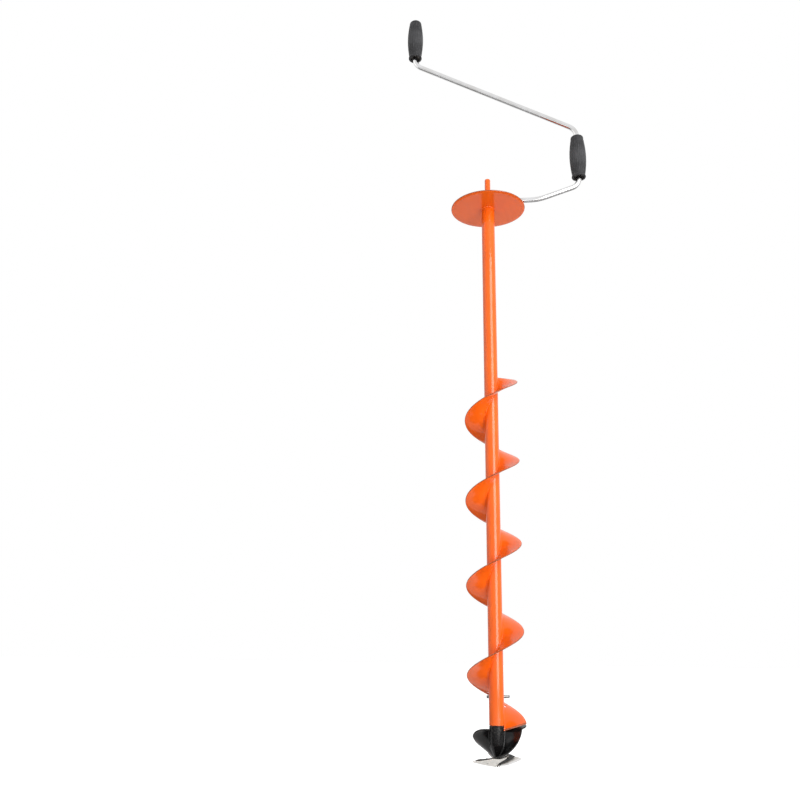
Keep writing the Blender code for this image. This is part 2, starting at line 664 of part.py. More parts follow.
def make_auger():
    orange = material("orange_paint", ORANGE, 0.3, 0.0)
    black = material("black_paint", BLACK, 0.25, 0.0)
    bright = material("bright_steel", (0.75, 0.75, 0.76), 0.15, 1.0)
    zinc = material("zinc_steel", (0.6, 0.61, 0.62), 0.3, 1.0)
    ground = material("ground_steel", (0.7, 0.68, 0.66), 0.3, 1.0)
    dark = material("dark_steel", (0.12, 0.11, 0.1), 0.4, 1.0)
    rubber = material("grip_rubber", (0.04, 0.04, 0.042), 0.7, 0.0)
    liner = material("liner_plastic", (0.5, 0.5, 0.48), 0.5, 0.0)

    datum = empty("tip_datum", (0, 0, -STUB_TOP))
    wing_axis = empty("wing_screw_axis", (0, 0, WING_SCREW_HEIGHT), datum)
    wing_axis.rotation_euler[2] = math.radians(WING_SCREW_AZIMUTH_DEG - 90)
    clamp_axis = empty("clamp_screw_axis", (0, 0, ROD_HEIGHT_IN_HUB), datum)
    crank = empty("crank_axis", (0, 0, ROD_HEIGHT_IN_HUB), datum)
    head = empty("head_axis", (0, 0, 0), datum)
    lower = empty("lower_grip_axis", (LOWER_GRIP_X, 0, LOWER_GRIP_BOTTOM - ROD_HEIGHT_IN_HUB), crank)
    upper = empty("upper_grip_axis", (UPPER_GRIP_X, 0, UPPER_GRIP_BOTTOM - ROD_HEIGHT_IN_HUB), crank)

    make_tube(datum, orange, wing_axis)
    make_flight(datum, orange, wing_axis)
    make_disc(datum, orange)
    make_disc_collar(datum, orange)
    make_hub(datum, orange, clamp_axis)
    make_stub(datum, orange)
    make_wing_boss(datum, orange, wing_axis)
    make_wing_screw(wing_axis, zinc)
    make_clamp_screw(clamp_axis, zinc)
    make_cutting_head(head, black, ground, dark)

    make_rod(crank, bright)
    low, high = WASHER_INSET, WASHER_INSET + WASHER_T
    lower_length = LOWER_GRIP_TOP - LOWER_GRIP_BOTTOM
    make_grip("lower_grip", lower, rubber, lower_length, closed_top=False)
    make_ring("lower_grip_sleeve", lower, liner, ROD_BORE_R, SLEEVE_R, high + GAP, lower_length - high - GAP)
    top_low, top_high = lower_length - high, lower_length - low
    make_ring("lower_grip_washer_low", lower, dark, ROD_BORE_R, WASHER_R, low, high)
    make_ring("lower_grip_washer_high", lower, dark, ROD_BORE_R, WASHER_R, top_low, top_high)

    upper_length = UPPER_GRIP_TOP - UPPER_GRIP_BOTTOM
    retainer_low = upper_length - RETAINER_INSET
    make_grip("upper_grip", upper, rubber, upper_length, closed_top=True)
    make_ring("upper_grip_sleeve", upper, liner, ROD_BORE_R, SLEEVE_R, high + GAP, retainer_low - GAP)
    make_ring("upper_grip_washer_low", upper, dark, ROD_BORE_R, WASHER_R, low, high)
    make_retainer(upper, dark, retainer_low)


for old in list(bpy.data.objects):
    bpy.data.objects.remove(old, do_unlink=True)
make_auger()
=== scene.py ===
"""Looks of a hand ice auger: powder-coated spiral, black cutting head, bright crank and rubber grips.

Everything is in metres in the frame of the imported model: the origin is the drive stub's flat end,
+Z runs up the auger's axis, and the crank lies in the XZ plane. Heights are measured up from the
centre point's tip, and world() turns a height into the frame's Z.
"""

import json
from math import atan2, cos, degrees as to_degrees, hypot, pi, radians, sin, sqrt, tan

import bmesh
import bpy
from mathutils import Matrix, Vector, noise

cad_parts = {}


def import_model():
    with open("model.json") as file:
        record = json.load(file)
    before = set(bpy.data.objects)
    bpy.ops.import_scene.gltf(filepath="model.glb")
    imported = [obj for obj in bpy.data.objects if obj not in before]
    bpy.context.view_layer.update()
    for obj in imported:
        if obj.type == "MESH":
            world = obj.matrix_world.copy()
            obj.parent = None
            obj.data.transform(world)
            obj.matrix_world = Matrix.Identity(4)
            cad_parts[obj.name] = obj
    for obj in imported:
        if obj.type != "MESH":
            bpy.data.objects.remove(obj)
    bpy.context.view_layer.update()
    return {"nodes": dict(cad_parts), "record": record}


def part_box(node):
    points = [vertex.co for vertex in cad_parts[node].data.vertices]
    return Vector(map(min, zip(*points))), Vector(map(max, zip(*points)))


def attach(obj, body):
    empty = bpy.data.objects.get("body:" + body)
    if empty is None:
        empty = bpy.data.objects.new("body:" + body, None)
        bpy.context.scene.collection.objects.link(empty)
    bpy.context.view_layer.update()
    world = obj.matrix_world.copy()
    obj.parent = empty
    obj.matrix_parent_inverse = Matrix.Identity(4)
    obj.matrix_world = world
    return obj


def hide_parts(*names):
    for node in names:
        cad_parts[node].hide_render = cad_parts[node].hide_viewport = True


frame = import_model()

MM = 0.001
GAP = 0.35 * MM  # between neighbouring pieces
CREASE_DEG = 32.0  # a sharper fold than this stays a crease

# Body and material slot of the painted pieces
AUGER = "auger", "orange_paint"
BLACK_HEAD = "cutting_head", "black_paint"

# Places and sizes read from the frame
TIP_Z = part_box("centre_point")[0].z
TUBE_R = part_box("shaft_tube")[1].x
TUBE_BORE_R = TUBE_R - 1.5 * MM
TUBE_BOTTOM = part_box("shaft_tube")[0].z - TIP_Z
DISC_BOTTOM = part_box("stop_disc")[0].z - TIP_Z
DISC_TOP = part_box("stop_disc")[1].z - TIP_Z
DISC_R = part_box("stop_disc")[1].x
HUB_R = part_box("crank_hub")[1].x
HUB_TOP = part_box("crank_hub")[1].z - TIP_Z
STUB_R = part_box("drive_stub")[1].x
STUB_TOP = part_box("drive_stub")[1].z - TIP_Z
ROD_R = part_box("crank_rod")[1].y
ROD_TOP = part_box("crank_rod")[1].z - TIP_Z
LOWER_GRIP_X = sum(corner.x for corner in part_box("lower_grip")) / 2
UPPER_GRIP_X = sum(corner.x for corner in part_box("upper_grip")) / 2
GRIP_BELLY_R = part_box("lower_grip")[1].y
SPIGOT_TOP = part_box("head_spigot")[1].z - TIP_Z
ROD_HEIGHT_IN_HUB = frame["record"]["behaviour"]["joints"][1]["pos_m"][2] - TIP_Z

# Flight: height = FLIGHT_H0 + FLIGHT_PITCH * turns, counted from +X towards +Y
FLIGHT_R = 48.7 * MM
FLIGHT_PITCH = 147.4 * MM
FLIGHT_H0 = 66.1 * MM
FLIGHT_T = 2.0 * MM
FLIGHT_WAVE = 0.35 * MM  # unevenness of the rim
FLIGHT_START_DEG = -24.0
FLIGHT_RIM_START_DEG = 3.0
FLIGHT_END_DEG = 1465.0
WINDOW_START_DEG = 72.0  # where the flight's welds stop for the wing screw's window
WINDOW_END_DEG = 118.0

# Hub and crank: legs are the straight stretches of the rod that carry the grips
HUB_SPIGOT_R = TUBE_R - 1.9 * MM
HUB_SPIGOT_BOTTOM = 985.0 * MM
STUB_FOOT = HUB_TOP - 7 * MM
STUB_FOOT_R = 4.0 * MM
CLAMP_SHANK_R = 3.0 * MM
KNURL_DEPTH = 0.35 * MM
ROD_INNER_END_X = -11.0 * MM
ROD_RISE_X = 98.0 * MM
LOWER_LEG_BOTTOM = 1058.0 * MM
LOWER_LEG_TOP = 1183.5 * MM
UPPER_LEG_BOTTOM = 1358.0 * MM
ROD_BEND_RADII = (90.0 * MM, 20.0 * MM, 28.0 * MM, 24.0 * MM)
GRIP_END_R = 12.6 * MM
GRIP_LIP_R = 13.6 * MM

# Cutting head
SPIGOT_R = 10.6 * MM
HEAD_CONE_TOP = 34.0 * MM
NOSE_R = 4.5 * MM
NOSE_BOTTOM = 9.0 * MM
POINT_R = 2.4 * MM
POINT_TOP = 21.6 * MM
POINT_SOCKET_TOP = 22.0 * MM
LEADING_EDGE_DEG = -137.0
RIM_LOWEST = 12.5 * MM  # scoop rim's height at the leading edge
RIM_RISE = 0.41 * MM  # per degree, once the spiral runs steadily
SCOOP_DISH = 9.0 * MM
SCOOP_DISH_SHARE = 0.55  # of the rim's rise, added to the dish
SCOOP_T = 2.6 * MM
SCOOP_EDGE_T = 1.0 * MM
SCOOP_WAIST_R = 41.0 * MM
SCOOP_EDGE_R = 49.5 * MM
SCOOP_FRONT_SPAN_DEG = 166.0
SCOOP_BACK_SPAN_DEG = 154.0
SCOOP_BACK_START_DEG = 9.0
SCOOP_EAR_R = 52.5 * MM
SCOOP_EAR_RISE = 9.0 * MM
SCOOP_EAR_FALL = 0.2 * MM  # per degree over the ear
SCOOP_EAR_DEG = 30.0
SCOOP_TAIL_DEG = 34.0  # over which a scoop widens or rounds off
BLADE_R = 51.5 * MM
BLADE_T = 1.8 * MM
BLADE_SEAT = 0.9 * MM
BLADE_INNER_DROP = 0.9 * MM
BLADE_INNER_R = 16.0 * MM
BLADE_CHORD = 31.0 * MM
BLADE_OVERHANG = 7.0 * MM
BLADE_BEVEL = 5.5 * MM
BLADE_EDGE_T = 0.35 * MM
BLADE_SCREW_R = 1.8 * MM
BLADE_SCREW_PLACES = ((15.0 * MM, 13.0 * MM), (33.0 * MM, 12.0 * MM))

# Wing screw
WING_SCREW_HEIGHT = 107.0 * MM
WING_SCREW_AZIMUTH_DEG = 84.0
WING_BOSS_R = 7.0 * MM
WING_BOSS_END = 18.0 * MM
WING_SHANK_R = 4.0 * MM
WING_HUB_R = 6.6 * MM
WING_HUB_TOP = 30.0 * MM
WING_SPAN_R = 19.6 * MM
WING_TIP_START = 25.2 * MM
WING_TIP_END = 31.6 * MM
WING_T = 4.6 * MM
WING_REST_TURN_DEG = 2.0
WING_CLEARANCE = 0.8 * MM  # all round the turning wings in the window

# Camera and light
FLOOR_Z = TIP_Z - 64.0 * MM  # leaves room for the head to slide out
FLOOR_HALF_SIZE = 40.0
CARD_Z = FLOOR_Z + 2 * MM
CARD_GREY = 0.07
CAMERA_PLACE = (0.0, -1.5096, 0.1663)  # the last is a height above the tip
CAMERA_RIGHT = Vector((0.99422, 0.10640, 0.01419))
CAMERA_UP = Vector((0.01727, -0.28897, 0.95718))
CAMERA_LENS = 38.507


def world(height):
    return TIP_Z + height


def raised(profile):
    """Profile of (radius, height above the tip) with its heights turned into the frame's Z."""
    return [(radius, world(height)) for radius, height in profile]


# ---- material nodes

def new_look(name):
    look = bpy.data.materials.new(name)
    look.use_nodes = True
    return look, look.node_tree, look.node_tree.nodes["Principled BSDF"]


def noise_of(tree, scale, detail, stretch=(1.0, 1.0, 1.0)):
    """Noise in the frame's metres: scale is in waves per metre, a low stretch draws it out."""
    place = tree.nodes.new("ShaderNodeTexCoord")
    mapping = tree.nodes.new("ShaderNodeMapping")
    mapping.inputs["Scale"].default_value = stretch
    made = tree.nodes.new("ShaderNodeTexNoise")
    made.inputs["Scale"].default_value = scale
    made.inputs["Detail"].default_value = detail
    tree.links.new(place.outputs["Object"], mapping.inputs["Vector"])
    tree.links.new(mapping.outputs["Vector"], made.inputs["Vector"])
    return made.outputs["Fac"]


def ranged(tree, value, low, high, to_low, to_high):
    made = tree.nodes.new("ShaderNodeMapRange")
    for name, number in (("From Min", low), ("From Max", high), ("To Min", to_low), ("To Max", to_high)):
        made.inputs[name].default_value = number
    tree.links.new(value, made.inputs["Value"])
    return made.outputs["Result"]


def patches(tree, scale, detail, low, high, to_low=0.0, to_high=1.0, stretch=(1.0, 1.0, 1.0)):
    """Noise with its stretch from low to high spread over to_low to to_high."""
    return ranged(tree, noise_of(tree, scale, detail, stretch), low, high, to_low, to_high)


def mixed(tree, factor, first, second):
    """Colour between two colours; either may be a socket or three numbers."""
    made = tree.nodes.new("ShaderNodeMix")
    made.data_type = "RGBA"
    tree.links.new(factor, made.inputs["Factor"])
    for name, colour in (("A", first), ("B", second)):
        socket = next(s for s in made.inputs if s.name == name and s.type == "RGBA")
        if isinstance(colour, tuple):
            socket.default_value = (*colour, 1.0)
        else:
            tree.links.new(colour, socket)
    return next(s for s in made.outputs if s.type == "RGBA")


def combined(tree, operation, first, second):
    made = tree.nodes.new("ShaderNodeMath")
    made.operation = operation
    for i, value in enumerate((first, second)):
        if isinstance(value, float):
            made.inputs[i].default_value = value
        else:
            tree.links.new(value, made.inputs[i])
    return made.outputs["Value"]


def edge_mask(tree, share=1.0):
    """share on the edges that the mesh code marks, 0 elsewhere; on the orange paint it lays painted shade as
    well as chips.
    """
    made = tree.nodes.new("ShaderNodeAttribute")
    made.attribute_name = "edge"
    return combined(tree, "MULTIPLY", made.outputs["Fac"], share)


def worn_by(tree, amount, scale):
    """The edge mask broken up by noise, as paint chips are."""
    return combined(tree, "MULTIPLY", edge_mask(tree, amount), patches(tree, scale, 4.0, 0.5, 0.62))


def pits_of(tree, scale):
    place = tree.nodes.new("ShaderNodeTexCoord")
    made = tree.nodes.new("ShaderNodeTexVoronoi")
    made.inputs["Scale"].default_value = scale
    tree.links.new(place.outputs["Object"], made.inputs["Vector"])
    return made.outputs["Distance"]


def add_bump(tree, shader, layers):
    """Stack of (height socket, depth in metres) bumps."""
    previous = None
    for height, depth in layers:
        made = tree.nodes.new("ShaderNodeBump")
        made.inputs["Strength"].default_value = 1.0
        made.inputs["Distance"].default_value = depth
        tree.links.new(height, made.inputs["Height"])
        if previous is not None:
            tree.links.new(previous, made.inputs["Normal"])
        previous = made.outputs["Normal"]
    tree.links.new(previous, shader.inputs["Normal"])


def set_constants(shader, constants):
    """What is the same all over the surface goes on the shader's own sockets."""
    for name, value in constants.items():
        shader.inputs[name].default_value = value


def make_look(name, tone, colours, layers, rough, bumps, constants):
    """Finish whose colour lies between two colours, under layers, with uneven roughness and bumps.

    tone and rough are numbers for patches(), a layer is (mask, its numbers, colour), and a bump is
    (pattern, its numbers, depth in metres)."""
    look, tree, shader = new_look(name)
    base = mixed(tree, patches(tree, *tone), *colours)
    for mask, numbers, colour in layers:
        base = mixed(tree, mask(tree, *numbers), base, colour)
    tree.links.new(base, shader.inputs["Base Color"])
    tree.links.new(patches(tree, *rough), shader.inputs["Roughness"])
    add_bump(tree, shader, [(pattern(tree, *numbers), depth) for pattern, numbers, depth in bumps])
    set_constants(shader, constants)
    return look


def orange_look():
    """Glossy powder coat: faint orange peel and patchiness, painted shade darkening the edges, a few chips.
    """
    colours = (0.82, 0.112, 0.003), (0.88, 0.13, 0.006)
    layers = [(patches, (900.0, 2.0, 0.64, 0.74, 0.0, 0.25), (0.68, 0.08, 0.004))]
    # painted shade: the marked edges (flight rim and ends, tube foot, disc rim) are darkened as if in shade;
    # the chips on them are wear
    layers += [(edge_mask, (), (0.34, 0.07, 0.018)), (worn_by, (0.25, 420.0), (0.2, 0.15, 0.12))]
    bumps = [(noise_of, (420.0, 1.0), 0.02 * MM), (noise_of, (70.0, 2.0), 0.06 * MM)]
    constants = {"Specular IOR Level": 0.15, "Coat Weight": 0.6, "Coat Roughness": 0.07}
    rough = (60.0, 5.0, 0.3, 0.7, 0.32, 0.42)
    return make_look("orange_powder_coat", (14.0, 4.0, 0.3, 0.7), colours, layers, rough, bumps, constants)


def black_look():
    """Gloss black enamel, faintly rippled, with a few chips where edges have rubbed."""
    colours = (0.003, 0.003, 0.0034), (0.007, 0.0065, 0.0065)
    scuffs = (160.0, 6.0, 0.66, 0.76, 0.0, 0.25, (1.0, 1.0, 0.2))
    layers = [(patches, scuffs, (0.02, 0.019, 0.018)), (worn_by, (0.3, 380.0), (0.12, 0.11, 0.1))]
    bumps = [(noise_of, (300.0, 1.0), 0.02 * MM), (noise_of, (60.0, 2.0), 0.1 * MM)]
    constants = {"Specular IOR Level": 0.22, "Coat Weight": 0.15, "Coat Roughness": 0.1}
    rough = (85.0, 5.0, 0.3, 0.72, 0.16, 0.27)
    return make_look("black_enamel", (40.0, 5.0, 0.35, 0.7), colours, layers, rough, bumps, constants)


def bright_look():
    """Bright plated steel with drawing marks along the bar and a few dull spots."""
    colours = (0.86, 0.86, 0.87), (0.74, 0.73, 0.72)
    marks = (1500.0, 2.0, (0.08, 1.0, 0.3))
    bumps = [(noise_of, marks, 0.003 * MM), (noise_of, (60.0, 2.0), 0.02 * MM)]
    rough = (240.0, 5.0, 0.45, 0.75, 0.07, 0.2)
    return make_look("bright_plating", (55.0, 4.0, 0.35, 0.7), colours, [], rough, bumps, {"Metallic": 1.0})


def zinc_look():
    """Zinc-plated steel: pale, slightly clouded, fine cast grain."""
    colours = (0.13, 0.13, 0.135), (0.22, 0.215, 0.2)
    layers = [(worn_by, (0.7, 700.0), (0.34, 0.33, 0.32))]
    bumps = [(noise_of, (900.0, 3.0), 0.08 * MM)]
    rough = (300.0, 4.0, 0.3, 0.7, 0.34, 0.5)
    return make_look("zinc_plating", (150.0, 5.0, 0.3, 0.7), colours, layers, rough, bumps, {"Metallic": 1.0})


def ground_look():
    """Blade steel: grinding lines, paler ground bevel, faint heat and water marks."""
    colours = (0.58, 0.56, 0.52), (0.76, 0.74, 0.7)
    along = (1.0, 0.12, 0.3)
    layers = [(patches, (70.0, 5.0, 0.55, 0.72, 0.0, 0.6), (0.46, 0.41, 0.35))]
    layers.append((edge_mask, (), (0.86, 0.86, 0.85)))
    lines = (1300.0, 2.0, 0.3, 0.7, 0.0, 1.0, along)
    bumps = [(noise_of, (1300.0, 2.0, along), 0.05 * MM)]
    rough = (110.0, 4.0, 0.3, 0.7, 0.3, 0.46)
    return make_look("ground_blade_steel", lines, colours, layers, rough, bumps, {"Metallic": 0.85})


def dark_look():
    """Hardened dark steel, oiled."""
    colours = (0.075, 0.07, 0.066), (0.15, 0.135, 0.12)
    layers = [(worn_by, (0.8, 800.0), (0.45, 0.43, 0.4))]
    bumps = [(noise_of, (1100.0, 3.0), 0.06 * MM)]
    tone, rough = (260.0, 5.0, 0.3, 0.7), (420.0, 4.0, 0.3, 0.7, 0.3, 0.5)
    return make_look("dark_hardened_steel", tone, colours, layers, rough, bumps, {"Metallic": 0.9})


def rubber_look():
    """Foamed rubber grip: fine pitted skin, worn paler on the ridges."""
    colours = (0.009, 0.009, 0.01), (0.02, 0.02, 0.022)
    streaks = (420.0, 4.0, 0.55, 0.72, 0.0, 0.7, (1.0, 1.0, 0.14))
    layers = [(patches, streaks, (0.05, 0.05, 0.053)), (edge_mask, (0.4,), (0.07, 0.07, 0.074))]
    bumps = [(pits_of, (900.0,), 0.18 * MM), (noise_of, (380.0, 4.0), 0.25 * MM)]
    constants = {"Specular IOR Level": 0.4, "Sheen Weight": 0.08}
    rough = (320.0, 5.0, 0.3, 0.7, 0.52, 0.78)
    return make_look("grip_rubber", (75.0, 5.0, 0.3, 0.72), colours, layers, rough, bumps, constants)


def liner_look():
    """Moulded grey-white plastic."""
    colours = (0.42, 0.42, 0.4), (0.54, 0.54, 0.51)
    tone, rough = (120.0, 4.0, 0.3, 0.7), (200.0, 3.0, 0.3, 0.7, 0.4, 0.55)
    return make_look("liner_plastic", tone, colours, [], rough, [(noise_of, (700.0, 2.0), 0.04 * MM)], {})


# ---- mesh helpers

def polar(degrees, radius, height):
    angle = radians(degrees)
    return Vector((radius * cos(angle), radius * sin(angle), height))


def smoothstep(low, high, value):
    x = min(max((value - low) / (high - low), 0.0), 1.0)
    return x * x * (3 - 2 * x)


def spread(start, end, steps):
    """Evenly spaced values from start to end, both included."""
    return [start + (end - start) * i / steps for i in range(steps + 1)]


def arc(x, y, reach_x, reach_y, start_deg, end_deg, steps):
    """Points along an arc about (x, y), both ends included."""
    angles = [radians(degrees) for degrees in spread(start_deg, end_deg, steps)]
    return [(x + reach_x * cos(angle), y + reach_y * sin(angle)) for angle in angles]


def moved(bm, matrix):
    bmesh.ops.transform(bm, matrix=matrix, verts=bm.verts)
    return bm


def mesh_of(name, bm):
    mesh = bpy.data.meshes.new(name)
    bm.to_mesh(mesh)
    bm.free()
    return mesh


def add_object(name, data):
    made = bpy.data.objects.new(name, data)
    bpy.context.scene.collection.objects.link(made)
    return made


def place_piece(name, bm, look, body, slot, replaces=(), matrix=None, smooth_deg=CREASE_DEG):
    """Turn a bmesh into a piece that rides on a body, smooth except at creases."""
    if matrix is not None:
        moved(bm, matrix)
    bmesh.ops.remove_doubles(bm, verts=bm.verts, dist=1e-7)
    bmesh.ops.recalc_face_normals(bm, faces=bm.faces)
    mesh = mesh_of(name, bm)
    mesh.shade_smooth()
    mesh.set_sharp_from_angle(angle=radians(smooth_deg))
    mesh.materials.append(look)
    piece = add_object(name, mesh)
    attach(piece, body)
    if replaces:
        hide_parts(*replaces)
    return piece


def cut(piece, tools):
    """Cut closed bmeshes out of a piece and keep the result as its mesh."""
    cutters = []
    for tool in tools:
        bmesh.ops.recalc_face_normals(tool, faces=tool.faces)
        cutter = add_object("cutter", mesh_of("cutter", tool))
        modifier = piece.modifiers.new("cut", "BOOLEAN")
        modifier.solver = "EXACT"
        modifier.object = cutter
        cutters.append(cutter)
    evaluated = piece.evaluated_get(bpy.context.evaluated_depsgraph_get())
    mesh = bpy.data.meshes.new_from_object(evaluated)
    piece.modifiers.clear()
    piece.data = mesh
    mesh.set_sharp_from_angle(angle=radians(CREASE_DEG))
    for cutter in cutters:
        bpy.data.objects.remove(cutter, do_unlink=True)


def lathe(profile, sides=96, closed=False, relief=None, marks=()):
    """Solid of revolution about Z. relief(angle, index) adds to a ring's radius; marks lists the edge rings,
    which wear and, on orange paint, also get painted shade.
    """
    bm = bmesh.new()
    edge = bm.verts.layers.float.new("edge")
    rings = []
    for index, (radius, height) in enumerate(profile):
        if radius == 0:
            ring = [bm.verts.new((0, 0, height))]
        else:
            ring = []
            for i in range(sides):
                angle = 2 * pi * i / sides
                r = radius + (relief(angle, index) if relief else 0.0)
                ring.append(bm.verts.new((r * cos(angle), r * sin(angle), height)))
        for vert in ring:
            vert[edge] = 1.0 if index in marks else 0.0
        rings.append(ring)
    pairs = list(zip(rings, rings[1:]))
    if closed:
        pairs.append((rings[-1], rings[0]))
    for low, high in pairs:
        for i in range(sides):
            corners = [low[i % len(low)], low[(i + 1) % len(low)]]
            corners += [high[(i + 1) % len(high)], high[i % len(high)]]
            bm.faces.new(list(dict.fromkeys(corners)))
    return bm


def rounded(profile, radius, closed=False):
    """Profile with its corners turned into small arcs; an open profile keeps its two ends."""
    steps = 4
    points = [Vector(p) for p in profile]
    count = len(points)
    made = []
    for i, point in enumerate(points):
        ends = i == 0 or i == count - 1
        if ends and not closed:
            made.append(tuple(point))
            continue
        before, after = points[i - 1], points[(i + 1) % count]
        reach = min(radius, 0.45 * (before - point).length, 0.45 * (after - point).length)
        start = point + (before - point).normalized() * reach
        end = point + (after - point).normalized() * reach
        for k in range(steps + 1):
            t = k / steps
            made.append(tuple(start * (1 - t) ** 2 + point * 2 * t * (1 - t) + end * t ** 2))
    return made


def rod_profile(radius, start, end):
    return [(0, start), (radius, start), (radius, end), (0, end)]


def join_rings(bm, rings):
    """Band of faces between each ring of points and the next."""
    count = len(rings[0])
    for low, high in zip(rings, rings[1:]):
        for k in range(count):
            bm.faces.new((low[k], low[(k + 1) % count], high[(k + 1) % count], high[k]))


def close_ends(bm, rings):
    bm.faces.new(list(reversed(rings[0])))
    bm.faces.new(rings[-1])


def sweep(points, radius_at, sides):
    """Round bar along points; radius_at(i) gives the radius there."""
    bm = bmesh.new()
    bm.verts.layers.float.new("edge")
    side = None
    rings = []
    for i, point in enumerate(points):
        tangent = (points[min(i + 1, len(points) - 1)] - points[max(i - 1, 0)]).normalized()
        if side is None:
            side = tangent.orthogonal().normalized()
        side = (side - tangent * side.dot(tangent)).normalized()
        other = tangent.cross(side)
        r = radius_at(i)
        angles = [2 * pi * k / sides for k in range(sides)]
        rings.append([bm.verts.new(point + (side * cos(a) + other * sin(a)) * r) for a in angles])
    join_rings(bm, rings)
    close_ends(bm, rings)
    return bm


def weld_bead(name, points, radius, look, body, slot, replaces=()):
    """Bead along points with the overlapping ripples of a weld."""
    ripple = 2.2 * MM
    travel = [0.0]
    for before, after in zip(points, points[1:]):
        travel.append(travel[-1] + (after - before).length)

    def radius_at(i):
        wobble = 0.1 * noise.noise(points[i] * 180)
        return radius * (1 + wobble + 0.13 * abs(sin(pi * travel[i] / ripple)))

    bm = sweep(points, radius_at, sides=10)
    place_piece(name, bm, look, body, slot, replaces, smooth_deg=80)


def plate(point_at, rows, columns, thickness_at, worn=0.0):
    """Thin plate over a grid: point_at(u, v) is on its top face, thickness_at(u, v) is the drop below.

    The border gets a rounded edge, and worn is how rubbed that edge is."""
    bm = bmesh.new()
    edge = bm.verts.layers.float.new("edge")

    def grid(drop):
        made = []
        for i in range(rows + 1):
            row = []
            for j in range(columns + 1):
                u, v = i / rows, j / columns
                vert = bm.verts.new(point_at(u, v) - Vector((0, 0, drop * thickness_at(u, v))))
                on_border = i in (0, rows) or j in (0, columns)
                vert[edge] = worn if on_border else 0.0
                row.append(vert)
            made.append(row)
        return made

    top, low = grid(0.0), grid(1.0)
    for i in range(rows):
        for j in range(columns):
            bm.faces.new((top[i][j], top[i + 1][j], top[i + 1][j + 1], top[i][j + 1]))
            bm.faces.new((low[i][j], low[i][j + 1], low[i + 1][j + 1], low[i + 1][j]))
    border = [(0, j) for j in range(columns + 1)] + [(i, columns) for i in range(1, rows + 1)]
    border += [(rows, j) for j in range(columns - 1, -1, -1)] + [(i, 0) for i in range(rows - 1, 0, -1)]
    middle = []
    for i, j in border:
        inner = top[min(max(i, 1), rows - 1)][min(max(j, 1), columns - 1)]
        outward = (top[i][j].co - inner.co).normalized()
        gap = (top[i][j].co - low[i][j].co).length
        vert = bm.verts.new((top[i][j].co + low[i][j].co) / 2 + outward * 0.3 * gap)
        vert[edge] = worn
        middle.append(vert)
    for k in range(len(border)):
        (a, b), (c, d) = border[k], border[(k + 1) % len(border)]
        here, after = middle[k], middle[(k + 1) % len(border)]
        bm.faces.new((top[a][b], top[c][d], after, here))
        bm.faces.new((here, after, low[c][d], low[a][b]))
    return bm


# ---- shaft

def wing_matrix(turn_deg=0.0):
    """Wing screw's axis: local Z points out of the tube at the screw."""
    out = Matrix.Rotation(radians(WING_SCREW_AZIMUTH_DEG - 90), 4, "Z")
    lay = Matrix.Rotation(-pi / 2, 4, "X")
    turn = Matrix.Rotation(radians(turn_deg), 4, "Z")
    return Matrix.Translation((0, 0, world(WING_SCREW_HEIGHT))) @ out @ lay @ turn


def make_tube(orange):
    """Tube with a small chamfer at its foot; the second ring keeps the wall's shading flat above it."""
    chamfer, second_ring, stations = 0.5 * MM, 1.2 * MM, 40
    top = DISC_BOTTOM - GAP
    outside = [(TUBE_R, height) for height in spread(TUBE_BOTTOM, top, stations)]
    outside[0] = (TUBE_R, TUBE_BOTTOM + chamfer)
    outside.insert(1, (TUBE_R, TUBE_BOTTOM + second_ring))
    profile = [(TUBE_BORE_R, top), (TUBE_BORE_R, TUBE_BOTTOM), (TUBE_R - chamfer, TUBE_BOTTOM)]
    # rings 2 and 3 are the foot's chamfer: the paint darkens them with painted shade and chips them
    bm = lathe(raised(profile + outside), closed=True, marks=(2, 3))
    place_piece("tube_shell", bm, orange, *AUGER, ["shaft_tube"])


def flight_point(radius, degrees, offset):
    return polar(degrees, radius, world(FLIGHT_H0 + FLIGHT_PITCH * degrees / 360 + offset))


def make_flight(orange):
    """Spiral plate with a rounded rim, slightly uneven from forming, and the wing screw's window."""
    step_deg, rim_steps, bands = 3.0, 4, 5
    steps = round((FLIGHT_END_DEG - FLIGHT_START_DEG) / step_deg)
    half = FLIGHT_T / 2
    inner = TUBE_R - 0.4 * MM
    section = [(radius, -half, 0.0) for radius in spread(inner, FLIGHT_R - half, bands)]
    rim = arc(FLIGHT_R - half, 0, half, half, -90, 90, rim_steps)[1:-1]
    # the rim's points carry the edge mark: the paint gives them painted shade and chips
    section += [(radius, offset, 1.0) for radius, offset in rim]
    section += [(radius, half, 0.0) for radius, _, _ in reversed(section[:bands + 1])]
    bm = bmesh.new()
    edge = bm.verts.layers.float.new("edge")
    rings = []
    for i in range(steps + 1):
        ring = []
        for radius, offset, worn in section:
            out = (radius - TUBE_R) / (FLIGHT_R - TUBE_R)
            first = FLIGHT_START_DEG + (FLIGHT_RIM_START_DEG - FLIGHT_START_DEG) * min(max(out, 0.0), 1.0)
            degrees = first + (FLIGHT_END_DEG - first) * i / steps
            uneven = FLIGHT_WAVE * out * noise.noise(Vector((degrees / 40, 2.0, 0.5)))
            vert = bm.verts.new(flight_point(radius, degrees, offset + uneven))
            # the rim and both ends are marked: painted shade darkens them, and the paint chips there
            vert[edge] = worn if 0 < i < steps else 1.0
            ring.append(vert)
        rings.append(ring)
    join_rings(bm, rings)
    close_ends(bm, rings)
    bmesh.ops.triangulate(bm, faces=[f for f in bm.faces if len(f.verts) > 4])
    piece = place_piece("flight_plate", bm, orange, *AUGER, ["flight"], smooth_deg=50)
    narrow, wide = WING_HUB_R + WING_CLEARANCE, WING_SPAN_R + WING_CLEARANCE
    start, end = WING_TIP_START - WING_CLEARANCE, WING_TIP_END + WING_CLEARANCE
    window = [(0, 0.5 * TUBE_R), (narrow, 0.5 * TUBE_R), (narrow, WING_BOSS_END + 2 * MM)]
    window += [(wide, start), (wide, end), (0, end)]
    cut(piece, [moved(lathe(window, sides=48), wing_matrix())])


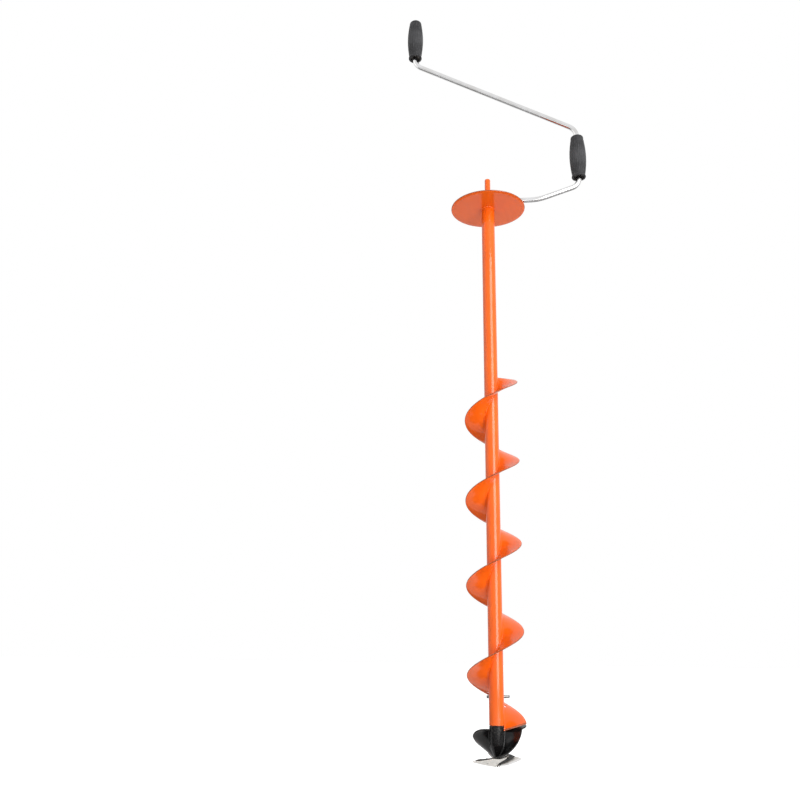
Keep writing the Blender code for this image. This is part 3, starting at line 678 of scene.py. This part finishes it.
def make_flight_welds(orange):
    """Beads between the flight and the tube, above and below, left out at the window."""
    ranges = ((FLIGHT_START_DEG + 1, WINDOW_START_DEG), (WINDOW_END_DEG, FLIGHT_END_DEG - 1))
    bead_r, stand_off, step_deg = 1.1 * MM, 0.3 * MM, 2.0
    for side, sign in (("above", 1), ("below", -1)):
        offset = sign * (FLIGHT_T / 2 + stand_off)
        for number, (start, end) in enumerate(ranges, 1):
            angles = spread(start, end, round((end - start) / step_deg))
            points = [flight_point(TUBE_R + stand_off, degrees, offset) for degrees in angles]
            weld_bead(f"flight_weld_{side}_{number}", points, bead_r, orange, *AUGER)


def ring_points(radius, height, count):
    return [polar(degrees, radius, world(height)) for degrees in spread(0, 360, count)]


def make_disc(orange):
    """Stop disc with a rolled edge, and the welds that hold it and the hub."""
    round_r, rim_steps, bands = 0.6 * MM, 6, 8
    middle, bulge = (DISC_BOTTOM + DISC_TOP) / 2, (DISC_TOP - DISC_BOTTOM) / 2
    radii = spread(TUBE_BORE_R, DISC_R - round_r, bands)
    profile = [(radius, DISC_BOTTOM) for radius in radii]
    profile += arc(DISC_R - round_r, middle, round_r, bulge, -90, 90, rim_steps)[1:-1]
    # the rolled edge is marked: the paint darkens it with painted shade and chips it
    marks = range(len(radii), len(profile))
    profile += [(radius, DISC_TOP) for radius in reversed(radii)]
    bm = lathe(raised(profile), sides=160, closed=True, marks=marks)
    place_piece("disc_plate", bm, orange, *AUGER, ["stop_disc"])
    points = ring_points(TUBE_R + 0.3 * MM, DISC_BOTTOM - 0.5 * MM, 180)
    weld_bead("disc_weld", points, 1.2 * MM, orange, *AUGER, ["disc_collar"])
    points = ring_points(HUB_R + 0.2 * MM, DISC_TOP + 0.7 * MM, 180)
    weld_bead("hub_weld", points, 1.4 * MM, orange, *AUGER)


def make_hub(orange):
    """Hub with the crank's cross bore, the clamp screw's hole and a necked top."""
    low, top = DISC_TOP + GAP, HUB_TOP
    groove_r, chamfer = HUB_R - 0.5 * MM, 1.4 * MM
    profile = [(0, HUB_SPIGOT_BOTTOM), (HUB_SPIGOT_R, HUB_SPIGOT_BOTTOM), (HUB_SPIGOT_R, low), (HUB_R, low)]
    profile += [(HUB_R, top - 7 * MM), (groove_r, top - 6.4 * MM), (groove_r, top - 5.4 * MM)]
    profile += [(HUB_R, top - 4.8 * MM), (HUB_R, top - chamfer), (HUB_R - chamfer, top), (0, top)]
    bm = lathe(raised(rounded(profile, 0.5 * MM)))
    piece = place_piece("hub_block", bm, orange, *AUGER, ["crank_hub"])
    bore = lathe(rod_profile(ROD_R + GAP, -2 * HUB_R, 2 * HUB_R), sides=48)
    across = Matrix.Translation((0, 0, world(ROD_HEIGHT_IN_HUB))) @ Matrix.Rotation(pi / 2, 4, "Y")
    hole = lathe(rod_profile(CLAMP_SHANK_R + GAP, 0, 2 * HUB_R), sides=32)
    cut(piece, [moved(bore, across), moved(hole, clamp_matrix())])


def make_stub(orange):
    """Drive stub: straight shank with a rounded top and a small chamfer at the hub."""
    round_r, round_steps, chamfer = 2.6 * MM, 8, 0.3 * MM
    shoulder = HUB_TOP + GAP
    profile = [(0, STUB_FOOT), (STUB_FOOT_R, STUB_FOOT), (STUB_FOOT_R, shoulder)]
    profile += [(STUB_R - chamfer, shoulder), (STUB_R, HUB_TOP + 2 * GAP)]
    profile += arc(STUB_R - round_r, STUB_TOP - round_r, round_r, round_r, 0, 90, round_steps)
    profile.append((0, STUB_TOP))
    bm = lathe(raised(profile), sides=64)
    place_piece("stub_bar", bm, orange, *AUGER, ["drive_stub"])
    points = ring_points(STUB_R + 0.1 * MM, HUB_TOP + 0.4 * MM, 90)
    weld_bead("stub_weld", points, 0.9 * MM, orange, *AUGER)


# ---- screws that a hand turns

def clamp_matrix():
    """Clamp screw's axis: local Z runs along +Y out of the hub."""
    return Matrix.Translation((0, 0, world(ROD_HEIGHT_IN_HUB))) @ Matrix.Rotation(-pi / 2, 4, "X")


def make_wing_boss(orange):
    """Threaded boss for the wing screw, and the weld where it meets the round tube."""
    bore = WING_SHANK_R + GAP
    foot, end = 0.9 * TUBE_R, WING_BOSS_END
    profile = [(bore, foot), (WING_BOSS_R, foot), (WING_BOSS_R, end), (bore, end)]
    bm = lathe(rounded(profile, 0.9 * MM, closed=True), sides=64, closed=True)
    place_piece("boss_collar", bm, orange, *AUGER, ["wing_screw_boss"], matrix=wing_matrix())
    weld_r, weld_steps = WING_BOSS_R + 0.2 * MM, 120
    points = []
    for across, along in arc(0, 0, weld_r, weld_r, 0, 360, weld_steps):
        lift = sqrt((TUBE_R + 0.3 * MM) ** 2 - across ** 2)
        points.append(wing_matrix() @ Vector((across, along, lift)))
    weld_bead("boss_weld", points, 1.0 * MM, orange, *AUGER)


def wing_outline():
    """One wing from its root round the tip and back: x sideways, y away from the tube."""
    centre_y = (WING_TIP_START + WING_TIP_END) / 2
    round_r = (WING_TIP_END - WING_TIP_START) / 2
    points = [(4.4 * MM, WING_BOSS_END + 3.4 * MM), (7.5 * MM, WING_BOSS_END + 4.2 * MM)]
    points += arc(WING_SPAN_R - round_r, centre_y, round_r, round_r, -75, 115, 16)
    points += [(8.6 * MM, 28.4 * MM), (6.2 * MM, 27.4 * MM), (4.2 * MM, 27.6 * MM)]
    return points


def wing_solid(sign):
    """Pillowed wing: the outline at half height, inset faces above and below."""
    outline = wing_outline()
    centre = Vector((sum(x for x, _ in outline), sum(y for _, y in outline))) / len(outline)
    bm = bmesh.new()
    edge = bm.verts.layers.float.new("edge")
    rings = []
    for level, inset in ((-1.0, 0.82), (-0.75, 0.94), (0.0, 1.0), (0.75, 0.94), (1.0, 0.82)):
        ring = []
        for x, y in outline:
            flat = centre + (Vector((x, y)) - centre) * inset
            vert = bm.verts.new((sign * flat.x, level * WING_T / 2, flat.y))
            vert[edge] = 1.0 if level == 0.0 else 0.0
            ring.append(vert)
        rings.append(ring)
    join_rings(bm, rings)
    for ring, height in ((rings[0], -1.0), (rings[-1], 1.0)):
        middle = bm.verts.new((sign * centre.x, height * WING_T * 0.42, centre.y))
        for here, after in zip(ring, ring[1:] + ring[:1]):
            bm.faces.new((here, after, middle))
    return bm


def make_wing_screw(zinc):
    """Shank and tapered hub turned as one, and two wings beside the hub."""
    start, hub_low, shank_r = SPIGOT_R + 2 * GAP, WING_BOSS_END + GAP, WING_SHANK_R
    profile = [(0, start), (shank_r - MM, start), (shank_r, start + MM), (shank_r, hub_low)]
    profile += [(WING_HUB_R, hub_low), (WING_HUB_R, hub_low + 2 * MM)]
    profile += [(0.8 * WING_HUB_R, WING_HUB_TOP - 3 * MM), (0.55 * WING_HUB_R, WING_HUB_TOP)]
    profile.append((0, WING_HUB_TOP))
    turn = wing_matrix(-WING_REST_TURN_DEG)
    bm = lathe(rounded(profile, 0.8 * MM), sides=64)
    place_piece("wing_screw_hub", bm, zinc, "wing_screw", "zinc_steel", ["wing_screw"], matrix=turn)
    for name, sign in (("a", 1), ("b", -1)):
        wing = wing_solid(sign)
        place_piece(f"wing_{name}", wing, zinc, "wing_screw", "zinc_steel", matrix=turn, smooth_deg=60)


def make_clamp_screw(zinc):
    """Thumb screw with a knurled knob."""
    start, neck, low, top = ROD_R + GAP, HUB_R + 2 * MM, HUB_R + 6 * MM, HUB_R + 13 * MM
    shank_r, neck_r, knob_r, ridges = CLAMP_SHANK_R, 5.0 * MM, 8.0 * MM, 24
    profile = [(0, start), (shank_r - MM, start), (shank_r, start + MM), (shank_r, neck)]
    profile += [(neck_r, neck), (neck_r, low), (knob_r - MM, low)]
    side_rings = range(len(profile), len(profile) + 3)
    profile += [(knob_r, low + MM), (knob_r, (low + top) / 2), (knob_r, top - MM)]
    profile += [(knob_r - MM, top), (4 * MM, top), (3.6 * MM, top - 0.5 * MM), (0, top - 0.5 * MM)]

    def knurl(angle, index):
        return KNURL_DEPTH * (cos(ridges * angle) - 1) if index in side_rings else 0.0

    bm = lathe(profile, sides=ridges * 8, relief=knurl, marks=(side_rings[0] - 1, side_rings[-1] + 1))
    place_piece("clamp_knob", bm, zinc, "clamp_screw", "zinc_steel", ["clamp_screw"], matrix=clamp_matrix())


# ---- crank and grips

def rounded_path(corners, radii):
    """Points along straight stretches, with an arc of a given radius at each inner corner."""
    step_deg, points = 2.5, [corners[0]]
    for before, corner, after, radius in zip(corners, corners[1:], corners[2:], radii):
        into = (corner - before).normalized()
        out = (after - corner).normalized()
        turn = into.angle(out)
        inward = (out - into * into.dot(out)).normalized()
        centre = corner - into * radius * tan(turn / 2) + inward * radius
        steps = max(2, round(to_degrees(turn) / step_deg))
        for i in range(steps + 1):
            angle = turn * i / steps
            points.append(centre - inward * radius * cos(angle) + into * radius * sin(angle))
    points.append(corners[-1])
    return points


def make_rod(bright):
    """One bar from the hub through both grips, with a small chamfer at each end."""
    corners = [(ROD_INNER_END_X, ROD_HEIGHT_IN_HUB), (ROD_RISE_X, ROD_HEIGHT_IN_HUB)]
    corners += [(LOWER_GRIP_X, LOWER_LEG_BOTTOM), (LOWER_GRIP_X, LOWER_LEG_TOP)]
    corners += [(UPPER_GRIP_X, UPPER_LEG_BOTTOM), (UPPER_GRIP_X, ROD_TOP)]
    corners = [Vector((x, 0, world(height))) for x, height in corners]
    points = rounded_path(corners, ROD_BEND_RADII)
    chamfer = 0.2 * ROD_R
    first = (points[1] - points[0]).normalized() * chamfer
    last = (points[-2] - points[-1]).normalized() * chamfer
    points = [points[0], points[0] + first] + points[1:-1] + [points[-1] + last, points[-1]]
    ends = (0, len(points) - 1)
    bm = sweep(points, lambda i: ROD_R - chamfer if i in ends else ROD_R, sides=40)
    place_piece("crank_bar", bm, bright, "crank", "bright_steel", ["crank_rod"], smooth_deg=40)


def grip_profile(length):
    """Outside of a grip from its flared lip up: (radius, height, depth of the ribs there)."""
    end_r, lip_r = GRIP_END_R, GRIP_LIP_R
    points = [(lip_r - MM, 0.0, 0.0), (lip_r - 0.3 * MM, 0.3 * MM, 0.0), (lip_r, MM, 0.0)]
    points += [(lip_r, 2.6 * MM, 0.0), (lip_r - 0.5 * MM, 3.6 * MM, 0.0)]
    rings, first, share = 44, 0.07, 0.85
    for i in range(rings):
        along = i / (rings - 1)
        swell = max(sin(pi * along), 0.0) ** 0.8
        ribs = smoothstep(0.03, 0.1, along) * (1 - smoothstep(0.9, 0.97, along))
        points.append((end_r + (GRIP_BELLY_R - end_r) * swell, length * (first + share * along), ribs))
    return points


def make_grip(node, rubber, closed_top):
    """Barrel grip with fine lengthwise ribs, recessed for its washers; the upper one has a domed top."""
    end_r, bore, recess_r, recess = GRIP_END_R, 6.9 * MM, 9.6 * MM, 5.5 * MM
    ribs, rib_depth, rib_drift = 26, 0.45 * MM, 0.12 * MM
    low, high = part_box(node)
    length = high.z - low.z
    outside = grip_profile(length)
    inside = [(bore, recess, 0.0), (recess_r, recess, 0.0), (recess_r, 0.6 * MM, 0.0)]
    inside.append((recess_r + 0.6 * MM, 0.0, 0.0))
    if closed_top:
        cavity_low, cavity_top = length - 16.95 * MM, length - 8.0 * MM
        dome = arc(end_r - 4.6 * MM, length - 5 * MM, 4.5 * MM, 5 * MM, 0, 90, 8)[1:]
        cap = [(end_r - 0.1 * MM, length - 5.6 * MM, 0.0)]
        cap += [(radius, height, 0.0) for radius, height in dome + [(0, length)]]
        cavity = [(0, cavity_top, 0.0), (recess_r, cavity_top, 0.0), (recess_r, cavity_low, 0.0)]
        cavity.append((bore, cavity_low, 0.0))
        profile = cavity + inside + outside + cap
    else:
        rim = [(end_r - 0.1 * MM, length - 3.0 * MM, 0.0), (end_r - 0.6 * MM, length - 1.0 * MM, 0.0)]
        rim += [(end_r - 1.6 * MM, length, 0.0), (recess_r, length, 0.0)]
        rim += [(recess_r, length - recess, 0.0), (bore, length - recess, 0.0)]
        profile = inside + outside + rim

    def relief(angle, index):
        depth = profile[index][2]
        if depth == 0:
            return 0.0
        shape = abs(sin(ribs * angle / 2)) ** 0.7
        place = Vector((3 * cos(angle), 3 * sin(angle), index * 0.35))
        return depth * (rib_depth * (shape - 1) + rib_drift * noise.noise(place) - rib_drift)

    outline = [(radius, height) for radius, height, _ in profile]
    bm = lathe(outline, sides=ribs * 8, closed=not closed_top, relief=relief)
    edge = bm.verts.layers.float["edge"]
    for vert in bm.verts:
        radius = hypot(vert.co.x, vert.co.y)
        vert[edge] = smoothstep(GRIP_BELLY_R - 1.4 * MM, GRIP_BELLY_R - 0.2 * MM, radius)
    matrix = Matrix.Translation(((low.x + high.x) / 2, 0, low.z))
    place_piece(f"{node}_barrel", bm, rubber, node, "grip_rubber", [node], matrix=matrix, smooth_deg=45)


# ---- cutting head

def head_radius(height):
    part = smoothstep(NOSE_BOTTOM, HEAD_CONE_TOP, height)
    return NOSE_R + (TUBE_R - NOSE_R) * part


def rim_height(degrees):
    """Height of a scoop's rim: level at the leading edge, then easing into a steady rise."""
    ease, lead = 75.0, 10.0
    return RIM_LOWEST + RIM_RISE * (hypot(degrees + lead, ease) - hypot(lead, ease))


def rim_radius(degrees, span, flared):
    """Widest at the leading edge; the front scoop flares into its ear, the back one rounds off."""
    radius = SCOOP_WAIST_R + (SCOOP_EDGE_R - SCOOP_WAIST_R) * (1 - smoothstep(-20, 80, degrees))
    round_start = span - SCOOP_TAIL_DEG
    if flared:
        return radius + (SCOOP_EAR_R - SCOOP_WAIST_R) * smoothstep(round_start, span - 6, degrees)
    part = min(max((degrees - round_start) / (span - round_start), 0.0), 1.0)
    end_r = 0.55 * radius
    return end_r + (radius - end_r) * sqrt(1 - part * part)


def scoop_height(degrees, radius):
    """Height of a scoop's underside, which sags below its rim towards the axis."""
    rise = rim_height(degrees) - rim_height(0)
    dish = (SCOOP_DISH + SCOOP_DISH_SHARE * rise) * (1 - smoothstep(70, 150, degrees))
    part = min(max(radius / SCOOP_EDGE_R, 0.0), 1.0)
    return rim_height(degrees) - dish * (1 - part ** 1.6)


def scoop_thickness(degrees, start):
    return SCOOP_EDGE_T + (SCOOP_T - SCOOP_EDGE_T) * smoothstep(start, start + 10, degrees)


def ear_lift(degrees, span):
    """How far the front scoop stands above the plain spiral."""
    ear_start = span - SCOOP_EAR_DEG
    return SCOOP_EAR_RISE * smoothstep(50, ear_start, degrees) - SCOOP_EAR_FALL * max(degrees - ear_start, 0)


def scoop_inner_radius(degrees, lift):
    """Radius at which the scoop meets the head's cone, found by a few rounds of closing in."""
    radius = TUBE_R
    for _ in range(4):
        radius = head_radius(scoop_height(degrees, radius) + lift + SCOOP_T)
    return radius


def make_head_body(black):
    """Cone from the nose to the collar, with the centre point's socket below."""
    socket_r = POINT_R + GAP
    profile = [(0, POINT_SOCKET_TOP), (socket_r, POINT_SOCKET_TOP), (socket_r, NOSE_BOTTOM)]
    profile += [(head_radius(height), height) for height in spread(NOSE_BOTTOM, HEAD_CONE_TOP, 24)]
    collar_top = TUBE_BOTTOM - GAP
    profile += [(TUBE_R, collar_top - 0.8 * MM), (TUBE_R - 0.6 * MM, collar_top), (0, collar_top)]
    count = len(profile)
    bm = lathe(raised(profile), marks=(count - 3, count - 2))
    place_piece("head_core", bm, black, *BLACK_HEAD, ["head_body"])


def make_spigot(black):
    """Spigot with a dimple all round where the wing screw bites."""
    middle, low_r, chamfer = WING_SCREW_HEIGHT, SPIGOT_R - 0.5 * MM, 2.0 * MM
    profile = [(0, TUBE_BOTTOM), (SPIGOT_R, TUBE_BOTTOM), (SPIGOT_R, middle - 4 * MM)]
    profile += [(low_r, middle - 3 * MM), (low_r, middle + 3 * MM), (SPIGOT_R, middle + 4 * MM)]
    profile += [(SPIGOT_R, SPIGOT_TOP - chamfer), (SPIGOT_R - chamfer, SPIGOT_TOP), (0, SPIGOT_TOP)]
    bm = lathe(raised(rounded(profile, 0.4 * MM)))
    place_piece("spigot_bar", bm, black, *BLACK_HEAD, ["head_spigot"])


def make_scoop(side, start, span, flared, turn_deg, black):
    """Dished spiral plate with rounded, rubbed edges and the weld that joins it to the body."""
    def top_at(u, v):
        degrees = start + (span - start) * u
        lift = ear_lift(degrees, span) if flared else 0.0
        inner = scoop_inner_radius(degrees, lift) - 0.5 * MM
        radius = inner + (rim_radius(degrees, span, flared) - 0.3 * SCOOP_T - inner) * v
        lift += 0.25 * MM * noise.noise(Vector((degrees / 25, radius * 60, turn_deg)))
        height = scoop_height(degrees, radius) + scoop_thickness(degrees, start) + lift
        return polar(degrees + turn_deg, radius, world(height))

    def thickness_at(u, v):
        return scoop_thickness(start + (span - start) * u, start)

    bm = plate(top_at, 72, 20, thickness_at, worn=1.0)
    name = f"scoop_{side}"
    place_piece(f"{name}_plate", bm, black, *BLACK_HEAD, [name], smooth_deg=40)
    for face, drop in (("upper", 0.0), ("under", SCOOP_T)):
        points = []
        for u in spread(0.02, 0.98, 90):
            edge_point = top_at(u, 0.0)
            outward = Vector((edge_point.x, edge_point.y, 0)).normalized()
            points.append(edge_point + outward * 0.7 * MM - Vector((0, 0, drop)))
        weld_bead(f"{name}_weld_{face}", points, 1.5 * MM, black, *BLACK_HEAD)


def head_turn(turn_deg):
    """Place of one half of the head: the tip's height, turned about the axis."""
    return Matrix.Translation((0, 0, TIP_Z)) @ Matrix.Rotation(radians(turn_deg), 4, "Z")


def blade_point(along, behind):
    """Point on a blade's top face, along its leading edge and behind it, under the scoop."""
    radius = hypot(along, behind)
    degrees = to_degrees(atan2(behind, along))
    drop = BLADE_SEAT + BLADE_INNER_DROP * (1 - smoothstep(POINT_R, BLADE_INNER_R, radius))
    return Vector((along, behind, scoop_height(degrees, radius) - drop))


def make_blade(side, turn_deg, ground):
    """Dished blade with a ground bevel; its outer end is cut round."""
    turn = head_turn(turn_deg)

    def top_at(u, v):
        behind = -BLADE_OVERHANG + (BLADE_CHORD + BLADE_OVERHANG) * v
        start = POINT_R + 1.2 * MM + 0.15 * max(behind, 0)
        end = sqrt(BLADE_R ** 2 - behind ** 2) - 0.3 * BLADE_T
        point = blade_point(start + (end - start) * u, behind)
        return point - Vector((0, 0, BLADE_T - thickness_at(u, v)))

    def thickness_at(u, v):
        behind = (BLADE_CHORD + BLADE_OVERHANG) * v
        return BLADE_EDGE_T + (BLADE_T - BLADE_EDGE_T) * min(behind / BLADE_BEVEL, 1.0)

    bm = plate(top_at, 48, 36, thickness_at)
    edge = bm.verts.layers.float["edge"]
    for vert in bm.verts:
        bevel_behind = vert.co.y + BLADE_OVERHANG
        vert[edge] = 1.0 if bevel_behind < BLADE_BEVEL + 0.2 * MM else 0.0
    tools = []
    for along, behind in BLADE_SCREW_PLACES:
        hole = lathe(rod_profile(BLADE_SCREW_R + GAP, -4 * BLADE_T, 4 * BLADE_T), sides=32)
        tools.append(moved(hole, turn @ plate_frame(along, behind)))
    name = f"blade_{side}"
    piece = place_piece(f"{name}_plate", bm, ground, "cutting_head", "ground_steel", [name], matrix=turn)
    cut(piece, tools)


def plate_frame(along, behind):
    """Place on the blade's top face with the plate's normal as its Z axis."""
    step = 0.5 * MM
    here = blade_point(along, behind)
    slope_x = blade_point(along + step, behind) - here
    slope_y = blade_point(along, behind + step) - here
    normal = slope_x.cross(slope_y).normalized()
    return Matrix.Translation(here) @ normal.to_track_quat("Z", "Y").to_matrix().to_4x4()


def make_blade_screws(turn_deg, first, dark):
    """Button-head screws with a six-sided socket."""
    turn = head_turn(turn_deg)
    head_r, head_t, shank_r, socket_r = 3.2 * MM, 2.0 * MM, BLADE_SCREW_R, 1.25 * MM
    foot, seat = 0.4 * MM - BLADE_T, BLADE_SEAT + SCOOP_T + 2 * GAP
    profile = [(0, foot), (shank_r, foot), (shank_r, seat), (head_r, seat)]
    profile += [(head_r, seat + 0.4 * head_t), (0.9 * head_r, seat + 0.75 * head_t)]
    profile += [(0.66 * head_r, seat + head_t), (socket_r, seat + head_t)]
    profile += [(socket_r, seat + 0.3 * head_t), (0, seat + 0.3 * head_t)]
    socket_rings = (len(profile) - 3, len(profile) - 2)

    def six_sided(angle, index):
        if index not in socket_rings:
            return 0.0
        sixth = pi / 3
        return socket_r * (cos(sixth / 2) / cos(angle % sixth - sixth / 2) - 1)

    for number, (along, behind) in enumerate(BLADE_SCREW_PLACES, first):
        bm = lathe(profile, sides=48, relief=six_sided, marks=(5, 6))
        matrix = turn @ plate_frame(along, behind)
        node = f"blade_screw_{number}"
        place_piece(f"{node}_button", bm, dark, "cutting_head", "dark_steel", [node], matrix=matrix)


def make_centre_point(dark):
    """Short spur with four ground flats."""
    profile = [(0, 0), (1.1 * MM, 0), (1.3 * MM, 0.3 * MM), (POINT_R, 5 * MM)]
    profile += [(POINT_R, POINT_TOP), (0, POINT_TOP)]

    def flats(angle, index):
        return -0.25 * MM * cos(2 * angle) ** 2 if index in (1, 2) else 0.0

    bm = lathe(raised(profile), sides=48, relief=flats, marks=(1, 2))
    place_piece("centre_spur", bm, dark, "cutting_head", "dark_steel", ["centre_point"])


# ---- stage, light and camera

def make_floor():
    """Wide white floor, brighter to the camera and to mirror rays than it lights the object."""
    bm = bmesh.new()
    bmesh.ops.create_grid(bm, x_segments=2, y_segments=2, size=FLOOR_HALF_SIZE)
    floor = add_object("floor", mesh_of("floor", bm))
    floor.location.z = FLOOR_Z
    look, tree, shader = new_look("floor_white")
    tone = mixed(tree, patches(tree, 2.0, 2.0, 0.3, 0.7), (0.82, 0.82, 0.82), (0.85, 0.85, 0.85))
    tree.links.new(tone, shader.inputs["Base Color"])
    white = (1, 1, 1, 1)
    set_constants(shader, {"Roughness": 0.95, "Specular IOR Level": 0.1, "Emission Color": white})
    rays = tree.nodes.new("ShaderNodeLightPath")
    seen = ranged(tree, rays.outputs["Is Camera Ray"], 0.0, 1.0, 0.0, 0.65)
    mirrored = ranged(tree, rays.outputs["Is Glossy Ray"], 0.0, 1.0, 0.0, 0.25)
    shown = combined(tree, "ADD", seen, mirrored)
    tree.links.new(shown, shader.inputs["Emission Strength"])
    floor.data.materials.append(look)


def make_flag(name, place, size):
    """Grey card that only reflections see, so that bright metal and gloss paint get dark edges."""
    bm = bmesh.new()
    bmesh.ops.create_grid(bm, x_segments=1, y_segments=1, size=0.5)
    flag = add_object(name, mesh_of(name, bm))
    flag.location = place
    flag.scale = (*size, 1)
    look, _, shader = new_look(name)
    warm_grey = (CARD_GREY, 0.93 * CARD_GREY, 0.88 * CARD_GREY, 1)
    set_constants(shader, {"Base Color": warm_grey, "Roughness": 1.0})
    flag.data.materials.append(look)
    for part in ("camera", "diffuse", "shadow", "transmission"):
        setattr(flag, f"visible_{part}", False)


def make_softbox(name, place, target, size, power):
    lamp = bpy.data.lights.new(name, "AREA")
    lamp.shape = "RECTANGLE"
    lamp.size, lamp.size_y = size
    lamp.energy = power
    made = add_object(name, lamp)
    made.location = place
    toward = Vector(target) - Vector(place)
    made.rotation_euler = toward.to_track_quat("-Z", "Y").to_euler()
    made.visible_camera = False


def make_world():
    """White to the camera; a soft grey room to the object, darker on the near side."""
    made = bpy.data.worlds.new("studio")
    made.use_nodes = True
    tree = made.node_tree
    background = tree.nodes["Background"]
    background.inputs["Strength"].default_value = 1.0
    place = tree.nodes.new("ShaderNodeTexCoord")
    parts = tree.nodes.new("ShaderNodeSeparateXYZ")
    tree.links.new(place.outputs["Generated"], parts.inputs["Vector"])
    room = ranged(tree, parts.outputs["Y"], -0.35, 0.25, 0.22, 0.85)
    rays = tree.nodes.new("ShaderNodeLightPath")
    colour = mixed(tree, rays.outputs["Is Glossy Ray"], room, (0.9, 0.9, 0.9))
    colour = mixed(tree, rays.outputs["Is Camera Ray"], colour, (1.0, 1.0, 1.0))
    tree.links.new(colour, background.inputs["Color"])
    bpy.context.scene.world = made


def make_camera():
    data = bpy.data.cameras.new("camera")
    data.lens = CAMERA_LENS
    data.sensor_width = 36.0
    data.clip_start, data.clip_end = 0.05, 200.0
    camera = add_object("camera", data)
    forward = CAMERA_UP.cross(CAMERA_RIGHT).normalized()
    right = forward.cross(CAMERA_UP).normalized()
    up = right.cross(forward)
    matrix = Matrix((right, up, -forward)).transposed().to_4x4()
    x, y, height = CAMERA_PLACE
    matrix.translation = Vector((x, y, world(height)))
    camera.matrix_world = matrix
    bpy.context.scene.camera = camera


def make_light():
    """Large key on the right, weak fill on the left, and two grey cards for the reflections."""
    middle = (0, 0, world(0.55))
    make_softbox("key", (1.35, -2.15, world(1.05)), middle, size=(1.6, 2.1), power=80)
    make_softbox("fill", (-2.4, -0.6, world(1.5)), middle, size=(1.6, 2.4), power=6)
    make_flag("flag_behind", (0, 0.88, CARD_Z), size=(6, 1.24))
    make_flag("flag_in_front", (0, -0.56, CARD_Z), size=(6, 0.76))
    scene = bpy.context.scene
    scene.view_settings.view_transform = "Standard"
    scene.view_settings.look = "None"


# ---- everything

def dress_carried_nodes(look, *nodes):
    """Better finishes for the CAD nodes that stay."""
    for node in nodes:
        mesh = frame["nodes"][node].data
        mesh.materials.clear()
        mesh.materials.append(look)


def build():
    """Every visible piece, in order from the shaft to the cutting head."""
    orange, black, bright = orange_look(), black_look(), bright_look()
    zinc, ground, dark = zinc_look(), ground_look(), dark_look()
    rubber, liner = rubber_look(), liner_look()

    make_tube(orange)
    make_flight(orange)
    make_flight_welds(orange)
    make_disc(orange)
    make_hub(orange)
    make_stub(orange)
    make_wing_boss(orange)
    make_wing_screw(zinc)
    make_clamp_screw(zinc)
    make_rod(bright)

    for node, closed_top in (("lower_grip", False), ("upper_grip", True)):
        make_grip(node, rubber, closed_top)

    make_head_body(black)
    make_spigot(black)
    front = ("front", 0.0, SCOOP_FRONT_SPAN_DEG, True)
    back = ("back", SCOOP_BACK_START_DEG, SCOOP_BACK_SPAN_DEG, False)
    for i, (side, start, span, flared) in enumerate((front, back)):
        turn_deg = LEADING_EDGE_DEG + 180 * i
        make_scoop(side, start, span, flared, turn_deg, black)
        make_blade(side, turn_deg, ground)
        make_blade_screws(turn_deg, 1 + 2 * i, dark)
    make_centre_point(dark)

    dress_carried_nodes(dark, "lower_grip_washer_low", "lower_grip_washer_high")
    dress_carried_nodes(dark, "upper_grip_washer_low", "upper_grip_retainer")
    dress_carried_nodes(liner, "lower_grip_sleeve", "upper_grip_sleeve")


make_world()
make_floor()
make_light()
make_camera()
build()
